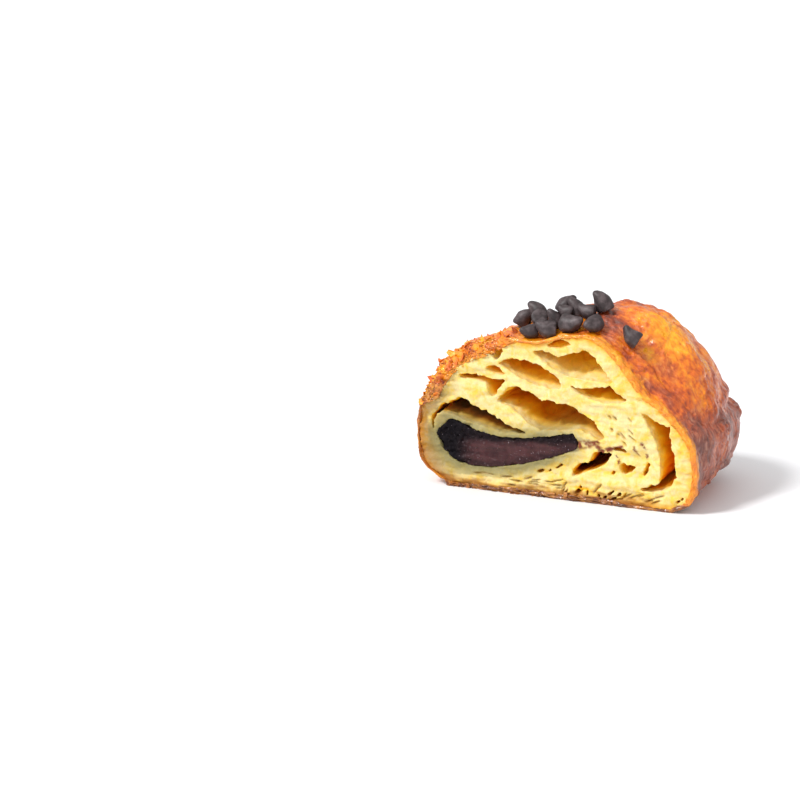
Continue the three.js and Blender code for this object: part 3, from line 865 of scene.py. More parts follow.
@dataclass(frozen=True)
class ChipFinish:
    """A baking chip: dark chocolate with a dull satin skin and a trace of bloom."""

    bloom: float = 2.2 * MM  # size of the patches of bloom

    def material(self) -> bpy.types.Material:
        """Make the material.

        Returns:
            A material that reads only its place.
        """
        material, tree = new_material("satin_chocolate_chip")
        place = add_node(tree, "ShaderNodeTexCoord").outputs["Object"]
        patches = add_node(tree, "ShaderNodeTexNoise", Vector=place, Scale=1 / self.bloom,
                           Detail=5.0, Roughness=0.6).outputs["Fac"]
        colour = add_node(tree, "ShaderNodeValToRGB", Fac=patches, stops=[
            (0.3, "#241a1b"), (0.48, "#382b2c"), (0.7, "#5e5152"),
        ]).outputs["Color"]
        bump = add_node(tree, "ShaderNodeBump", Height=patches, Strength=0.3, Distance=0.2 * MM)
        shader = add_node(tree, "ShaderNodeBsdfPrincipled", Base_Color=colour, Roughness=0.52,
                          IOR=1.5, Normal=bump.outputs["Normal"])
        add_node(tree, "ShaderNodeOutputMaterial", Surface=shader.outputs[0])
        return material


# The pieces


@dataclass
class Crust:
    """The crust, a thin shell round the crumb whose front edge shows at the cut.

    Its rows run from the closed end forward inside the shell, over the edge at the cut and
    back over the outside to the closed end.
    """

    bench: Bench
    around: int = 460
    inner_rows: int = 10
    edge_rows: int = 24
    side_rows: int = 110
    end_rows: int = 54
    thickness: float = 1.3
    end_starts: float = 0.9  # share of the depth where the closed end starts
    upper_columns: float = 0.93  # share of the columns that all but the hidden base gets
    upper_outline: float = 0.765  # share of the outline that these columns cover
    turn_step: float = 0.004  # share of the outline over which its direction is measured
    blisters: int = 300
    noise: Noise = field(default_factory=lambda: Noise(11))

    def law(self, around: Array, along: Array) -> Array:
        """Lay the shell out.

        Args:
            around: Shares of the way round.
            along: Shares of the way along.

        Returns:
            Rows of x, y, z.
        """
        columns = (0.0, self.upper_columns, 1.0)
        share = np.interp(around, columns, (0.0, self.upper_outline, 1.0))
        rows = along * (self.inner_rows + self.edge_rows + self.side_rows + self.end_rows)
        inner = np.clip(rows / self.inner_rows, 0, 1)
        edge = np.clip((rows - self.inner_rows) / self.edge_rows, 0, 1)
        outer = rows - self.inner_rows - self.edge_rows
        on_side = np.clip(outer / self.side_rows, 0, 1) * self.end_starts
        on_end = np.clip((outer - self.side_rows) / self.end_rows, 0, 1)
        outline = closed_curve(FORM.cut_outline, share)
        angle = np.arctan2(outline[:, 1] - FORM.core[1], outline[:, 0] - FORM.core[0])
        ratio = mix(FORM.draw_in(angle, self.end_starts * FORM.depth), 0.015, on_end)
        depth = np.where(on_end > 0, FORM.share_at(angle, ratio), on_side)
        depth = np.where(rows < self.inner_rows, (1 - inner) * self.end_starts, depth) * FORM.depth
        wide = FORM.crust(angle)
        wall = mix(self.thickness, wide, smoothstep(7, 0, depth)) * (1 - edge)
        here = FORM.place(outline[:, 0], outline[:, 1], depth)
        steps = (-self.turn_step, self.turn_step)
        ring = [closed_curve(FORM.cut_outline, (share + step) % 1.0) for step in steps]
        before, after = (FORM.place(flat[:, 0], flat[:, 1], depth) for flat in ring)
        run = (after - before)[:, (0, 2)]
        run /= np.maximum(np.linalg.norm(run, axis=1, keepdims=True), 1e-6)
        inward = np.stack([run[:, 1], -run[:, 0]], axis=1)
        swell = FORM.relief(here) * (1 - on_end) ** 0.5
        here[:, (0, 2)] += inward * (wall - swell)[:, None]
        # The flaky band falls away from the cut, while elsewhere the edge is only rounded
        sloping = smoothstep(1.8, 4.5, wide) * smoothstep(6, 0, depth)
        here[:, 1] += 2.6 * sloping * edge ** 1.4 - 0.3 * (1 - sloping) * np.sin(np.pi * edge)
        here[:, 2] = np.maximum(here[:, 2], 0.0)
        return here

    def build(self) -> bpy.types.Object:
        """Roll the shell and give it its relief.

        Returns:
            The crust, still in the cut's frame.
        """
        rows = self.inner_rows + self.edge_rows + self.side_rows + self.end_rows
        thing = new_object("egg_washed_crust", loft(self.law, self.around, rows))
        mesh = thing.data
        points = vertex_places(mesh)
        normals = vertex_normals(mesh)
        rim = self.rim(points)
        outside = smoothstep(1.1, 0.5, FORM.skin(points) + FORM.relief(points)) * (1 - rim)
        noise = self.noise
        lift = 0.3 * noise.layered(points, (6, 4, 6), 2)
        lift += 0.65 * self.shingles(points)
        lift += 0.16 * (1 - 2 * np.abs(noise.layered(points + 50, (2.6, 1.5, 2.6), 3)))
        lift += self.blister(points)
        lift *= smoothstep(0.0, 2.5, points[:, 2])
        points += normals * (outside * lift)[:, None]
        # The knife tore the edge: it wanders, and its leaves stand out by different amounts
        flaky = self.flaky(points)
        front = np.maximum(smoothstep(3.0, 0.2, points[:, 1]), flaky * smoothstep(9, 3, points[:, 1]))
        low = smoothstep(3.2, 1.2, points[:, 2]) * smoothstep(72, 58, points[:, 0])
        ragged = 0.35 * noise.layered(points + 130, (2.2, 2.0, 2.2), 3)
        leaved = mix(0.3, 1.0, np.maximum(flaky, low))
        points[:, 1] += front * (ragged + self.leaves(points) * leaved)
        crumbled = 0.35 * noise.layered(points + 190, (1.6, 2.0, 1.2), 3)
        points += normals * (front * flaky * crumbled)[:, None]
        points[:, 2] += front * low * 0.5 * noise.layered(points + 195, (3.0, 2.0, 9.0), 3)
        points[:, 2] = np.maximum(points[:, 2], 0.0)
        move_vertices(mesh, points)
        return thing

    def leaves(self, points: Array) -> Array:
        """How far the torn leaves at the cut stand back, in sharp steps.

        Args:
            points: One row of x, y, z for each place.

        Returns:
            One value for each row.
        """
        rise = 2.6 * self.noise.layered(points + 160, (4.0, 5.0, 2.4), 3) + 0.55 * FORM.skin(points)
        step = rise - np.floor(rise)
        return 1.1 * step * smoothstep(1.0, 0.9, step) - 0.4

    def rim(self, points: Array) -> Array:
        """How much points lie on the cut edge of the crust, from 0 to 1."""
        return smoothstep(0.35, 0.1, points[:, 1])

    def flaky(self, points: Array) -> Array:
        """How much points lie in the flaky band at the upper left, from 0 to 1."""
        degrees = np.degrees(np.arctan2(points[:, 2] - FORM.core[1], points[:, 0] - FORM.core[0]))
        return smoothstep(110, 128, degrees) * smoothstep(174, 165, degrees)

    def shingles(self, points: Array) -> Array:
        """Overlapping leaves: each swells gently and ends in a sharp lifted edge.

        Args:
            points: One row of x, y, z for each place.

        Returns:
            How far each place stands out.
        """
        rise = 1.9 * self.noise.layered(points + 20, (11, 7, 11), 3) + 0.05 * points[:, 0]
        step = rise - np.floor(rise)
        patch = smoothstep(-0.15, 0.35, self.noise.at(points + 80, 13.0))
        return (step * smoothstep(1.0, 0.93, step) - 0.4) * patch

    def blister(self, points: Array) -> Array:
        """Round blisters that the steam raised under the egg wash.

        Args:
            points: One row of x, y, z for each place.

        Returns:
            How far each place stands out.
        """
        rng = np.random.default_rng(8)
        total = np.zeros(len(points))
        for site in points[rng.integers(0, len(points), self.blisters)]:
            reach = rng.uniform(0.7, 2.2)
            away = np.linalg.norm((points - site) * (1, 0.85, 1), axis=1) / reach
            total = np.maximum(total, 0.22 * reach * np.clip(1 - away ** 2, 0, 1))
        return total

    def dress(self, thing: bpy.types.Object) -> None:
        """Paint how the oven browned it, with painted shade in its hollows and on its lower right, and place
        it.

        Args:
            thing: The piece, still in the cut's frame.
        """
        mesh = thing.data
        points = vertex_places(mesh)
        normals = vertex_normals(mesh)
        x, y, z = points.T
        noise = self.noise
        flaky = self.flaky(points)
        band = smoothstep(1.2, 3.0, y) * smoothstep(13, 6, y) * smoothstep(46, 62, x)
        ridge = smoothstep(50, 56, z)
        shoulder = smoothstep(30, 44, y) + smoothstep(80, 87, x)
        amber = np.exp(-(((x - 70) / 9) ** 2 + ((y - 17) / 11) ** 2))
        # Painted shade: the lower right lobe, turned away from the light, is darker and mauve
        shaded_lobe = smoothstep(31, 22, z + 2 * noise.at(points, 6.0)) * smoothstep(56, 78, x + 0.7 * y)
        bake = 0.32 + 0.2 * band + 0.3 * ridge + 0.2 * np.minimum(shoulder, 1) - 0.2 * amber + 0.2 * shaded_lobe
        bake += 0.16 * noise.layered(points + 300, (10, 8, 10), 3)
        # Painted shade: the torn leaves that stand back from the cut are darker
        torn = flaky * smoothstep(9, 4, y)
        bake += torn * (0.55 * smoothstep(0.1, 0.6, self.leaves(points)) - 0.16)
        # Painted shade: the valleys between the fine wrinkles are darker
        hollowed = noise.layered(points + 50, (2.6, 1.5, 2.6), 3)
        bake += 0.14 * smoothstep(0.25, 0.7, np.abs(hollowed))
        mauve_and_shade = shaded_lobe * (0.45 + 0.3 * noise.layered(points + 340, (4, 6, 4), 2))
        mauve_and_shade += 0.45 * band * smoothstep(-0.1, 0.5, noise.layered(points + 350, (5, 4, 5), 2))
        reach = 1.3 + 0.8 * noise.layered(points + 360, 3.0, 2)
        rim = smoothstep(reach + 0.9, reach - 0.5, y) * smoothstep(1.2, 3, z)
        rim *= 1 - 0.8 * flaky * smoothstep(4.5, 2.5, FORM.skin(points))
        left = smoothstep(16, 5, x) * smoothstep(36, 28, z)
        rim *= 1 - 0.7 * left
        base = smoothstep(3.4, 1.8, z + 0.9 * noise.layered(points + 380, (3, 3, 1.2), 2))
        base = np.maximum(base, 0.7 * left * smoothstep(5, 1, y))
        paint(mesh, "bake", np.clip(bake, 0, 1))
        paint(mesh, "mauve_and_shade", np.clip(mauve_and_shade, 0, 0.8))
        paint(mesh, "rim", np.clip(rim, 0, 1))
        paint(mesh, "base", base * smoothstep(12, 4, y + 3 * normals[:, 2]))
        mesh.materials.append(CrustFinish().material())
        shade_smooth(mesh)
        self.bench.settle(thing)
        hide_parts("pastry")
        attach(thing, "root")


@dataclass(frozen=True)
class SlitGroup:
    """Small slits in one part of the cut: where they lie, how steeply, and how long."""

    count: int
    across: tuple[float, float]
    upward: tuple[float, float]
    tilt: float
    lengths: tuple[float, float]


@dataclass(frozen=True)
class Smear:
    """Where the knife dragged chocolate over the cut."""

    start: tuple[float, float]
    end: tuple[float, float]
    width: float


@dataclass
class Crumb:
    """The inside of the dough: the layers that the knife cut, and the pockets between them."""

    bench: Bench
    reach: float = 28.0  # how far back it is made, past the deepest pocket
    under: float = 0.8  # how deep it lies under the outside of the crust
    around: int = 240
    rows: int = 30
    pocket_around: int = 120
    pocket_rows: int = 20
    mouth_share: float = 0.06  # share of a pocket's rows that stay in its mouth
    front_share: float = 0.01  # up to this share along, a pocket's row stands before the cut
    hollow_around: int = 96
    hollow_rows: int = 24
    hollow_room: float = 0.1  # room round the chocolate
    voxel: float = 0.32
    voxel_quick: float = 0.6
    most_triangles: int = 192_000
    smears: tuple[Smear, ...] = (
        Smear((50, 16.6), (54.9, 17.6), 1.3),
        Smear((54.9, 17.6), (57.6, 18.3), 0.8),
        Smear((57.7, 17.2), (59.9, 16.0), 0.7),
        Smear((58.6, 15.6), (61.7, 16.9), 0.8),
        Smear((61.7, 16.9), (65.4, 18.1), 0.5),
        Smear((69.0, 18.5), (69.7, 16.8), 0.4),
        Smear((69.7, 16.8), (70.5, 15.7), 0.4),
        Smear((71.3, 19.5), (72.4, 17.7), 0.5),
        Smear((72.4, 17.7), (73.1, 15.4), 0.45),
        Smear((63.2, 15.4), (64.6, 13.2), 0.35),
    )
    slit_groups: tuple[SlitGroup, ...] = (
        SlitGroup(9, (57, 70), (19, 28), -42.0, (0.6, 1.4)),
        SlitGroup(14, (18, 47), (2.2, 5.5), 9.0, (0.8, 2.2)),
        SlitGroup(8, (64, 78), (1.5, 4.5), 18.0, (0.8, 2.4)),
        SlitGroup(7, (47, 67), (2.0, 6.0), 58.0, (0.9, 1.9)),
    )
    slit_turn: float = 14.0  # how far a slit may turn from its group's tilt, in degrees
    slit_widths: tuple[float, float] = (0.16, 0.34)
    noise: Noise = field(default_factory=lambda: Noise(17))

    def hull_law(self, around: Array, along: Array) -> Array:
        """Lay the crumb's outside out.

        Args:
            around: Shares of the way round.
            along: Shares of the way along.

        Returns:
            Rows of x, y, z.
        """
        outline = closed_curve(FORM.cut_outline, around)
        places = FORM.place(outline[:, 0], outline[:, 1], self.reach * along)
        outward = outline - np.array(FORM.core)
        outward /= np.linalg.norm(outward, axis=1, keepdims=True)
        places[:, (0, 2)] += outward * (FORM.relief(places) - self.under)[:, None]
        places[:, 2] = np.maximum(places[:, 2], self.under)
        return places

    def pocket(self, mouth: Mouth) -> bmesh.types.BMesh:
        """An air pocket as a solid that starts in front of the cut.

        Args:
            mouth: The pocket's outline on the cut, and how deep it is.

        Returns:
            The solid.
        """
        widest = mouth.table[:, 4].max()

        def law(around: Array, along: Array) -> Array:
            """Lay the pocket out.

            Args:
                around: Shares of the way round.
                along: Shares of the way along.

            Returns:
                Rows of x, y, z.
            """
            place, inward, reach = mouth.at(around)
            share = np.maximum(0.0, mix(-self.mouth_share, 1.0, along))
            # Floors and left walls rise gently to the back, while ceilings run straight in
            ramp = smoothstep(-0.35, 0.7, inward @ (0.45, 0.9))
            closing = reach * mix(0.6 * share ** 3, 1.2 * share ** 1.9, ramp)
            spots = np.column_stack([place[:, 0], np.zeros(len(place)), place[:, 1]])
            torn = self.noise.layered(spots + 400, 1.3, 3) * (1 - 0.75 * ramp) * (1 - share)
            flat = place + inward * (closing + np.minimum(0.45, reach) * torn)[:, None]
            reaches = mouth.deep * mix(0.5, 1.0, smoothstep(0.0, 0.6, reach / widest))
            depth = np.where(along <= self.front_share, IN_FRONT, share * reaches)
            return FORM.place(flat[:, 0], flat[:, 1], depth)

        return loft(law, self.pocket_around, self.pocket_rows)

    def build(self) -> bpy.types.Object:
        """Cut the pockets, weld it all in fine cells, and roughen it.

        Returns:
            The crumb, still in the cut's frame.
        """
        thing = new_object("laminated_crumb", loft(self.hull_law, self.around, self.rows))
        solids = {name: self.pocket(mouth) for name, mouth in POCKETS.items()}
        solids["hollow"] = loft(Filling.law(self.hollow_room, IN_FRONT), self.hollow_around, self.hollow_rows)
        cutters = [new_object(f"cutter_{name}", bm) for name, bm in solids.items()]
        for cutter in cutters:
            cut = thing.modifiers.new("cut", "BOOLEAN")
            cut.operation = "DIFFERENCE"
            cut.solver = "MANIFOLD"
            cut.object = cutter
        bake_modifiers(thing)
        for cutter in cutters:
            bpy.data.meshes.remove(cutter.data)
        weld = thing.modifiers.new("weld", "REMESH")
        weld.mode = "VOXEL"
        weld.voxel_size = self.voxel
        bake_modifiers(thing)
        self.roughen(thing.data)
        count = sum(len(face.vertices) - 2 for face in thing.data.polygons)
        if count > self.most_triangles:
            thin = thing.modifiers.new("thin", "DECIMATE")
            thin.ratio = self.most_triangles / count
            bake_modifiers(thing)
        return thing

    def roughen(self, mesh: bpy.types.Mesh) -> None:
        """Move the vertices: torn edges on the cut, and folded skins down in the pockets.

        Args:
            mesh: The crumb's mesh.
        """
        points = vertex_places(mesh)
        normals = vertex_normals(mesh)
        noise = self.noise
        shallow = smoothstep(4.5, 0.5, points[:, 1])
        inside = smoothstep(0.8, 4.0, points[:, 1]) * smoothstep(27.5, 25, points[:, 1])
        folds = 0.5 * noise.layered(points + 20, (3.2, 13, 3.2), 2)
        folds += 0.22 * (1 - 2 * np.abs(noise.layered(points + 35, (4, 9, 4), 2)))
        torn = 0.2 * noise.layered(points + 90, 1.5, 3)
        points += normals * (inside * folds + shallow * torn)[:, None]
        # The knife tore the layers, so their edges wander and some stand further out
        points[:, 0] += shallow * 0.2 * noise.layered(points + 130, 2.0, 3)
        points[:, 2] += shallow * 0.2 * noise.layered(points + 170, 2.0, 3)
        points[:, 1] += shallow * (0.3 + 0.8 * noise.layered(points + 210, (12, 9, 3.2), 3))
        points[:, 1] += shallow * 1.2 * self.slits(points)
        toward = np.arctan2(points[:, 2] - FORM.core[1], points[:, 0] - FORM.core[0])
        points[:, 1] += shallow * 2.2 * smoothstep(-0.6, -2.0, FORM.skin(points) - FORM.crust(toward))
        points[:, 2] = np.maximum(points[:, 2], 0.3)
        move_vertices(mesh, points)

    def slits(self, points: Array) -> Array:
        """How open the many small slits between the layers are.

        Args:
            points: One row of x, y, z for each place.

        Returns:
            One share for each row.
        """
        rng = np.random.default_rng(5)
        on_cut = FORM.cut_place(points)
        total = np.zeros(len(points))
        for group in self.slit_groups:
            for _ in range(group.count):
                middle = np.array((rng.uniform(*group.across), rng.uniform(*group.upward)))
                turn = math.radians(group.tilt + rng.uniform(-self.slit_turn, self.slit_turn))
                along = np.array((math.cos(turn), math.sin(turn)))
                offset = on_cut - middle
                length = rng.uniform(*group.lengths)
                width = rng.uniform(*self.slit_widths)
                total = np.maximum(total, np.exp(-((offset @ along) / length) ** 4)
                                   * np.exp(-((offset @ (-along[1], along[0])) / width) ** 2))
        return total

    def pocket_shading(self, points: Array, on_cut: Array, normals: Array) -> Array:
        """How much painted shade darkens points from cream towards dark amber, by their depth in a pocket.

        Args:
            points: One row of x, y, z for each place.
            on_cut: The places on the cut that they come from.
            normals: Their normals.

        Returns:
            One share for each row.
        """
        pocket_shading = np.zeros(len(points))
        patchy = 0.5 + self.noise.layered(points + 500, 2.5, 2)
        within = smoothstep(0.25, 1.2, points[:, 1])
        for mouth in POCKETS.values():
            gap = mouth.gap(on_cut)
            deep = smoothstep(0.1, 2.4 + 2.4 * mouth.table[:, 4].max(), points[:, 1])
            inside = smoothstep(1.6, 0.9, gap) * within * (0.1 + deep * (0.2 + 0.62 * mouth.tone))
            # Painted glow: a yellow rim round each mouth on the cut, as light shining through the thin layers
            glow = 0.1 * smoothstep(1.3, 0.0, gap) * (1 - within) * patchy
            pocket_shading = np.maximum(pocket_shading, np.maximum(inside, glow))
        # Painted shade on ceilings, which face down, and painted light on floors, which face up
        pocket_shading += within * 0.14 * smoothstep(0.3, -0.8, normals[:, 2]) * smoothstep(0.02, 0.1, pocket_shading)
        return np.clip(pocket_shading - 0.12 * within * smoothstep(0.3, 0.9, normals[:, 2]), 0, 1)

    def smear(self, points: Array, on_cut: Array) -> Array:
        """Where the knife dragged chocolate over the crumb.

        Args:
            points: One row of x, y, z for each place.
            on_cut: The places on the cut that they come from.

        Returns:
            One share for each row.
        """
        smear = np.zeros(len(points))
        for dragged in self.smears:
            a, b = np.array(dragged.start), np.array(dragged.end)
            t = np.clip(((on_cut - a) @ (b - a)) / np.dot(b - a, b - a), 0, 1)
            gap = np.linalg.norm(on_cut - (a + t[:, None] * (b - a)), axis=1)
            smear = np.maximum(smear, smoothstep(dragged.width * 1.4, dragged.width * 0.5, gap))
        return smear * smoothstep(-0.55, 0.1, self.noise.layered(points + 400, 1.2, 2))

    def dress(self, thing: bpy.types.Object) -> None:
        """Paint what the material reads, and place it.

        Args:
            thing: The piece, still in the cut's frame.
        """
        mesh = thing.data
        points = vertex_places(mesh)
        normals = vertex_normals(mesh)
        on_cut = FORM.cut_place(points)
        shade = smoothstep(6.0, 0.5, FILLING.gap(on_cut)) * smoothstep(62, 40, on_cut[:, 0])
        above = smoothstep(12, 19, on_cut[:, 1])
        paint(mesh, "skin", np.clip(FORM.skin(points) / 6.0, 0, 1))
        paint(mesh, "amber", self.pocket_shading(points, on_cut, normals))
        wander = self.noise.layered(points + 380, (6, 4, 1.1), 2)
        toast = smoothstep(3.4, 1.9, points[:, 2] + 1.3 * wander) * smoothstep(82, 70, points[:, 0])
        paint(mesh, "toast", 0.9 * toast * smoothstep(8, 2, points[:, 1]))
        paint(mesh, "left", smoothstep(17, 5, points[:, 0]) * smoothstep(37, 27, points[:, 2]))
        paint(mesh, "shade", shade * mix(0.9, 0.8, above))
        paint(mesh, "smear", self.smear(points, on_cut) * smoothstep(6, 1, points[:, 1]))
        # Painted shade in the open slits
        paint(mesh, "slit", 0.7 * self.slits(points) * smoothstep(4, 1, points[:, 1]))
        mesh.materials.clear()
        mesh.materials.append(CrumbFinish().material())
        shade_smooth(mesh)
        self.bench.settle(thing)
        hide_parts("pastry")
        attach(thing, "root")


@dataclass
class Filling:
    """The bar of dark chocolate, cut by the knife at the front."""

    bench: Bench
    room: float = 0.08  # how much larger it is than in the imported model
    front: float = 0.5  # how far behind the cut it starts
    around: int = 120
    rows: int = 60
    voxel: float = 0.3
    noise: Noise = field(default_factory=lambda: Noise(23))

    @staticmethod
    def law(room: float, front: float) -> Callable[[Array, Array], Array]:
        """The bar's form, with room round it.

        Args:
            room: How much larger it is on each side.
            front: The depth at which it starts.

        Returns:
            A law for loft.
        """

        def places(around: Array, along: Array) -> Array:
            """Lay the bar out.

            Args:
                around: Shares of the way round.
                along: Shares of the way along.

            Returns:
                Rows of x, y, z.
            """
            depth = mix(front, FILLING.deep + room, along)
            place, inward, _ = FILLING.at(around)
            ring = place - inward * room
            narrow = FORM.draw_in(np.zeros_like(depth), np.clip(depth, 0, FILLING.deep))[:, None]
            flat = np.array(FORM.core) + (ring - np.array(FORM.core)) * narrow
            return np.stack([flat[:, 0], depth, flat[:, 1]], axis=1)

        return places

    def build(self) -> bpy.types.Object:
        """Make the bar, with a crumbly left end and a smeared middle.

        Returns:
            The bar, still in the cut's frame.
        """
        thing = new_object("chocolate_bar", loft(self.law(self.room, self.front), self.around, self.rows))
        weld = thing.modifiers.new("weld", "REMESH")
        weld.mode = "VOXEL"
        weld.voxel_size = self.voxel
        bake_modifiers(thing)
        mesh = thing.data
        points = vertex_places(mesh)
        normals = vertex_normals(mesh)
        crumbly = smoothstep(22, 12, points[:, 0])
        front = smoothstep(3, 0.8, points[:, 1])
        crumbly = np.maximum(crumbly, 0.7 * self.top(points))
        rough = mix(0.12, 0.6, crumbly) * self.noise.layered(points, 1.3, 3)
        points = points + normals * (rough * mix(0.3, 1.0, front))[:, None]
        points[:, 1] += front * (0.6 * self.noise.layered(points + 60, (3.2, 7, 4), 2))
        points[:, 1] += front * crumbly * 0.6 * self.noise.layered(points + 75, 1.1, 2)
        move_vertices(mesh, points)
        return thing

    def top(self, points: Array) -> Array:
        """How much points lie in the bar's upper part, which set before the rest."""
        middle = np.interp(points[:, 0], (17, 51), (14.5, 17.0))
        return smoothstep(-1.2, 1.0, points[:, 2] - middle + 0.8 * self.noise.at(points + 30, 4.0))

    def dress(self, thing: bpy.types.Object) -> None:
        """Paint the gloss, give it its chocolate, and place it.

        Args:
            thing: The piece, still in the cut's frame.
        """
        mesh = thing.data
        points = vertex_places(mesh)
        under = smoothstep(0.6, 2.6, -FILLING.gap(points[:, (0, 2)]))
        gloss = smoothstep(12, 20, points[:, 0]) * (0.9 + 0.5 * self.noise.layered(points, (7, 6, 1.3), 2))
        gloss *= (1 - 0.85 * self.top(points)) * mix(0.5, 1.0, under)
        paint(mesh, "gloss", np.clip(gloss, 0, 1))
        mesh.materials.clear()
        mesh.materials.append(FillingFinish().material())
        shade_smooth(mesh)
        self.bench.settle(thing)
        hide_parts("chocolate_filling")
        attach(thing, "root")


@dataclass(frozen=True)
class ChipSeat:
    """Where one chip lies: its place, how it leans, its size, and what lifts it."""

    x: float
    y: float
    lean: float
    toward: float
    size: float = 1.0
    lift: float = 0.0


@dataclass
class Chips:
    """The chocolate chips scattered on the crust."""

    bench: Bench
    radius: float = 2.3
    height: float = 5.3
    sunk: float = 0.4  # how far each sits into the soft crust
    tip_bend: float = 1.3  # sideways reach of the bent tip
    lying: float = 45.0  # degrees of lean from which a chip lies, with its tip bent up
    middle: float = 0.4  # share of the height at which a chip turns when it leans
    steps: int = 28
    # Shares of the radius and the height, from the base up to the tip
    profile: tuple[tuple[float, float], ...] = (
        (0.0, 0.03), (0.5, 0.01), (0.86, 0.0), (0.96, 0.02), (1.0, 0.07), (1.0, 0.16), (0.98, 0.28),
        (0.94, 0.4), (0.88, 0.52), (0.8, 0.63), (0.69, 0.74), (0.57, 0.83), (0.42, 0.91), (0.28, 0.96),
        (0.13, 0.99), (0.0, 1.0),
    )
    seats: tuple[ChipSeat, ...] = (
        ChipSeat(28.8, 13.2, 28, 10, 1.15, 0),
        ChipSeat(33.4, 13.2, 22, 186, 1.15, 0.4),
        ChipSeat(35.8, 8.2, 122, 114, 1.1, 1.0),
        ChipSeat(34.8, 2.9, 100, 222, 0.95, 0),
        ChipSeat(40.4, 2.9, 84, 204, 1.2, 0),
        ChipSeat(41.2, 7.2, 12, 205, 1, 0.2),
        ChipSeat(42.4, 12.2, 24, 20, 1.15, 0.9),
        ChipSeat(46.6, 10.4, 12, 200, 1.1, 0.9),
        ChipSeat(44.2, 8.4, 84, 192, 0.95, 2.2),
        ChipSeat(47.6, 3.4, 92, 346, 1.25, 0.1),
        ChipSeat(51.2, 7.4, 84, 188, 1.05, 0.7),
        ChipSeat(54.6, 3.2, 108, 245, 1.1, 0.3),
        ChipSeat(54.6, 11, 18, 200, 1.2, 0),
        ChipSeat(66, 4.4, 58, 188, 1.1, 1.7),
    )

    def drop(self, seat: ChipSeat) -> bmesh.types.BMesh:
        """One chip about its own middle, spun from its profile, bent at the tip and leaning.

        Args:
            seat: How it leans, and its size.

        Returns:
            The chip.
        """
        bm = bmesh.new()
        places = [(r * self.radius, 0.0, (h - self.middle) * self.height) for r, h in self.profile]
        verts = [bm.verts.new(place) for place in places]
        edges = [bm.edges.new(pair) for pair in zip(verts, verts[1:])]
        bmesh.ops.spin(bm, geom=verts + edges, cent=(0, 0, 0), axis=(0, 0, 1),
                       angle=2 * math.pi, steps=self.steps, use_merge=True)
        bmesh.ops.remove_doubles(bm, verts=bm.verts, dist=MERGE)
        bmesh.ops.recalc_face_normals(bm, faces=bm.faces)
        toward = math.radians(seat.toward)
        reach = self.tip_bend if seat.lean < self.lying else -self.tip_bend
        for vert in bm.verts:
            height = vert.co.z / self.height + self.middle
            bend = reach * float(smoothstep(0.5, 1.1, np.array(height)))
            vert.co.x += bend * math.cos(toward)
            vert.co.y += bend * math.sin(toward)
        hinge = Vector((-math.sin(toward), math.cos(toward), 0))
        turn = Matrix.Rotation(math.radians(seat.lean), 4, hinge) @ Matrix.Scale(seat.size, 4)
        bmesh.ops.transform(bm, matrix=turn, verts=bm.verts)
        return bm

    def build(self, crust: bpy.types.Object) -> list[bpy.types.Object]:
        """Lay each chip on the crust.

        Args:
            crust: The crust, still in the cut's frame.

        Returns:
            The chips, in the cut's frame.
        """
        ground = BVHTree.FromObject(crust, bpy.context.evaluated_depsgraph_get())
        things = []
        for number, seat in enumerate(self.seats, 1):
            bm = self.drop(seat)
            lowest = min(vert.co.z for vert in bm.verts)
            hit = ground.ray_cast(Vector((seat.x, seat.y, 100.0)), Vector((0, 0, -1)))[0]
            spot = Vector((seat.x, seat.y, hit.z - lowest - self.sunk + seat.lift))
            bmesh.ops.translate(bm, vec=spot, verts=bm.verts)
            things.append(new_object(f"chocolate_chip_{number:02d}", bm))
        return things

    def dress(self, things: list[bpy.types.Object]) -> None:
        """Give the chips their satin skin and small dents, and place them.

        Args:
            things: The chips in their order, still in the cut's frame.
        """
        finish = ChipFinish().material()
        noise = Noise(41)
        for number, thing in enumerate(things, 1):
            mesh = thing.data
            points = vertex_places(mesh)
            dents = 0.2 * noise.layered(points, 2.4, 3)
            move_vertices(mesh, points + vertex_normals(mesh) * dents[:, None])
            mesh.materials.append(finish)
            shade_smooth(mesh)
            self.bench.settle(thing)
            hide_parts(f"chip_{number:02d}")
            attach(thing, "root")


class FlakeKind(Enum):
    """How a loose bit of crust came away."""

    LEAF = "a thin plate of one layer"
    CURL = "a plate that rolled up as it dried"
    CRUMB = "a small lump"


@dataclass(frozen=True)
class FlakePatch:
    """Where flakes of one kind cling: a band round the crust, and depths from the cut."""

    kind: FlakeKind
    count: int
    degrees: tuple[float, float]
    depth: tuple[float, float]
    size: tuple[float, float]
    browned: tuple[float, float]


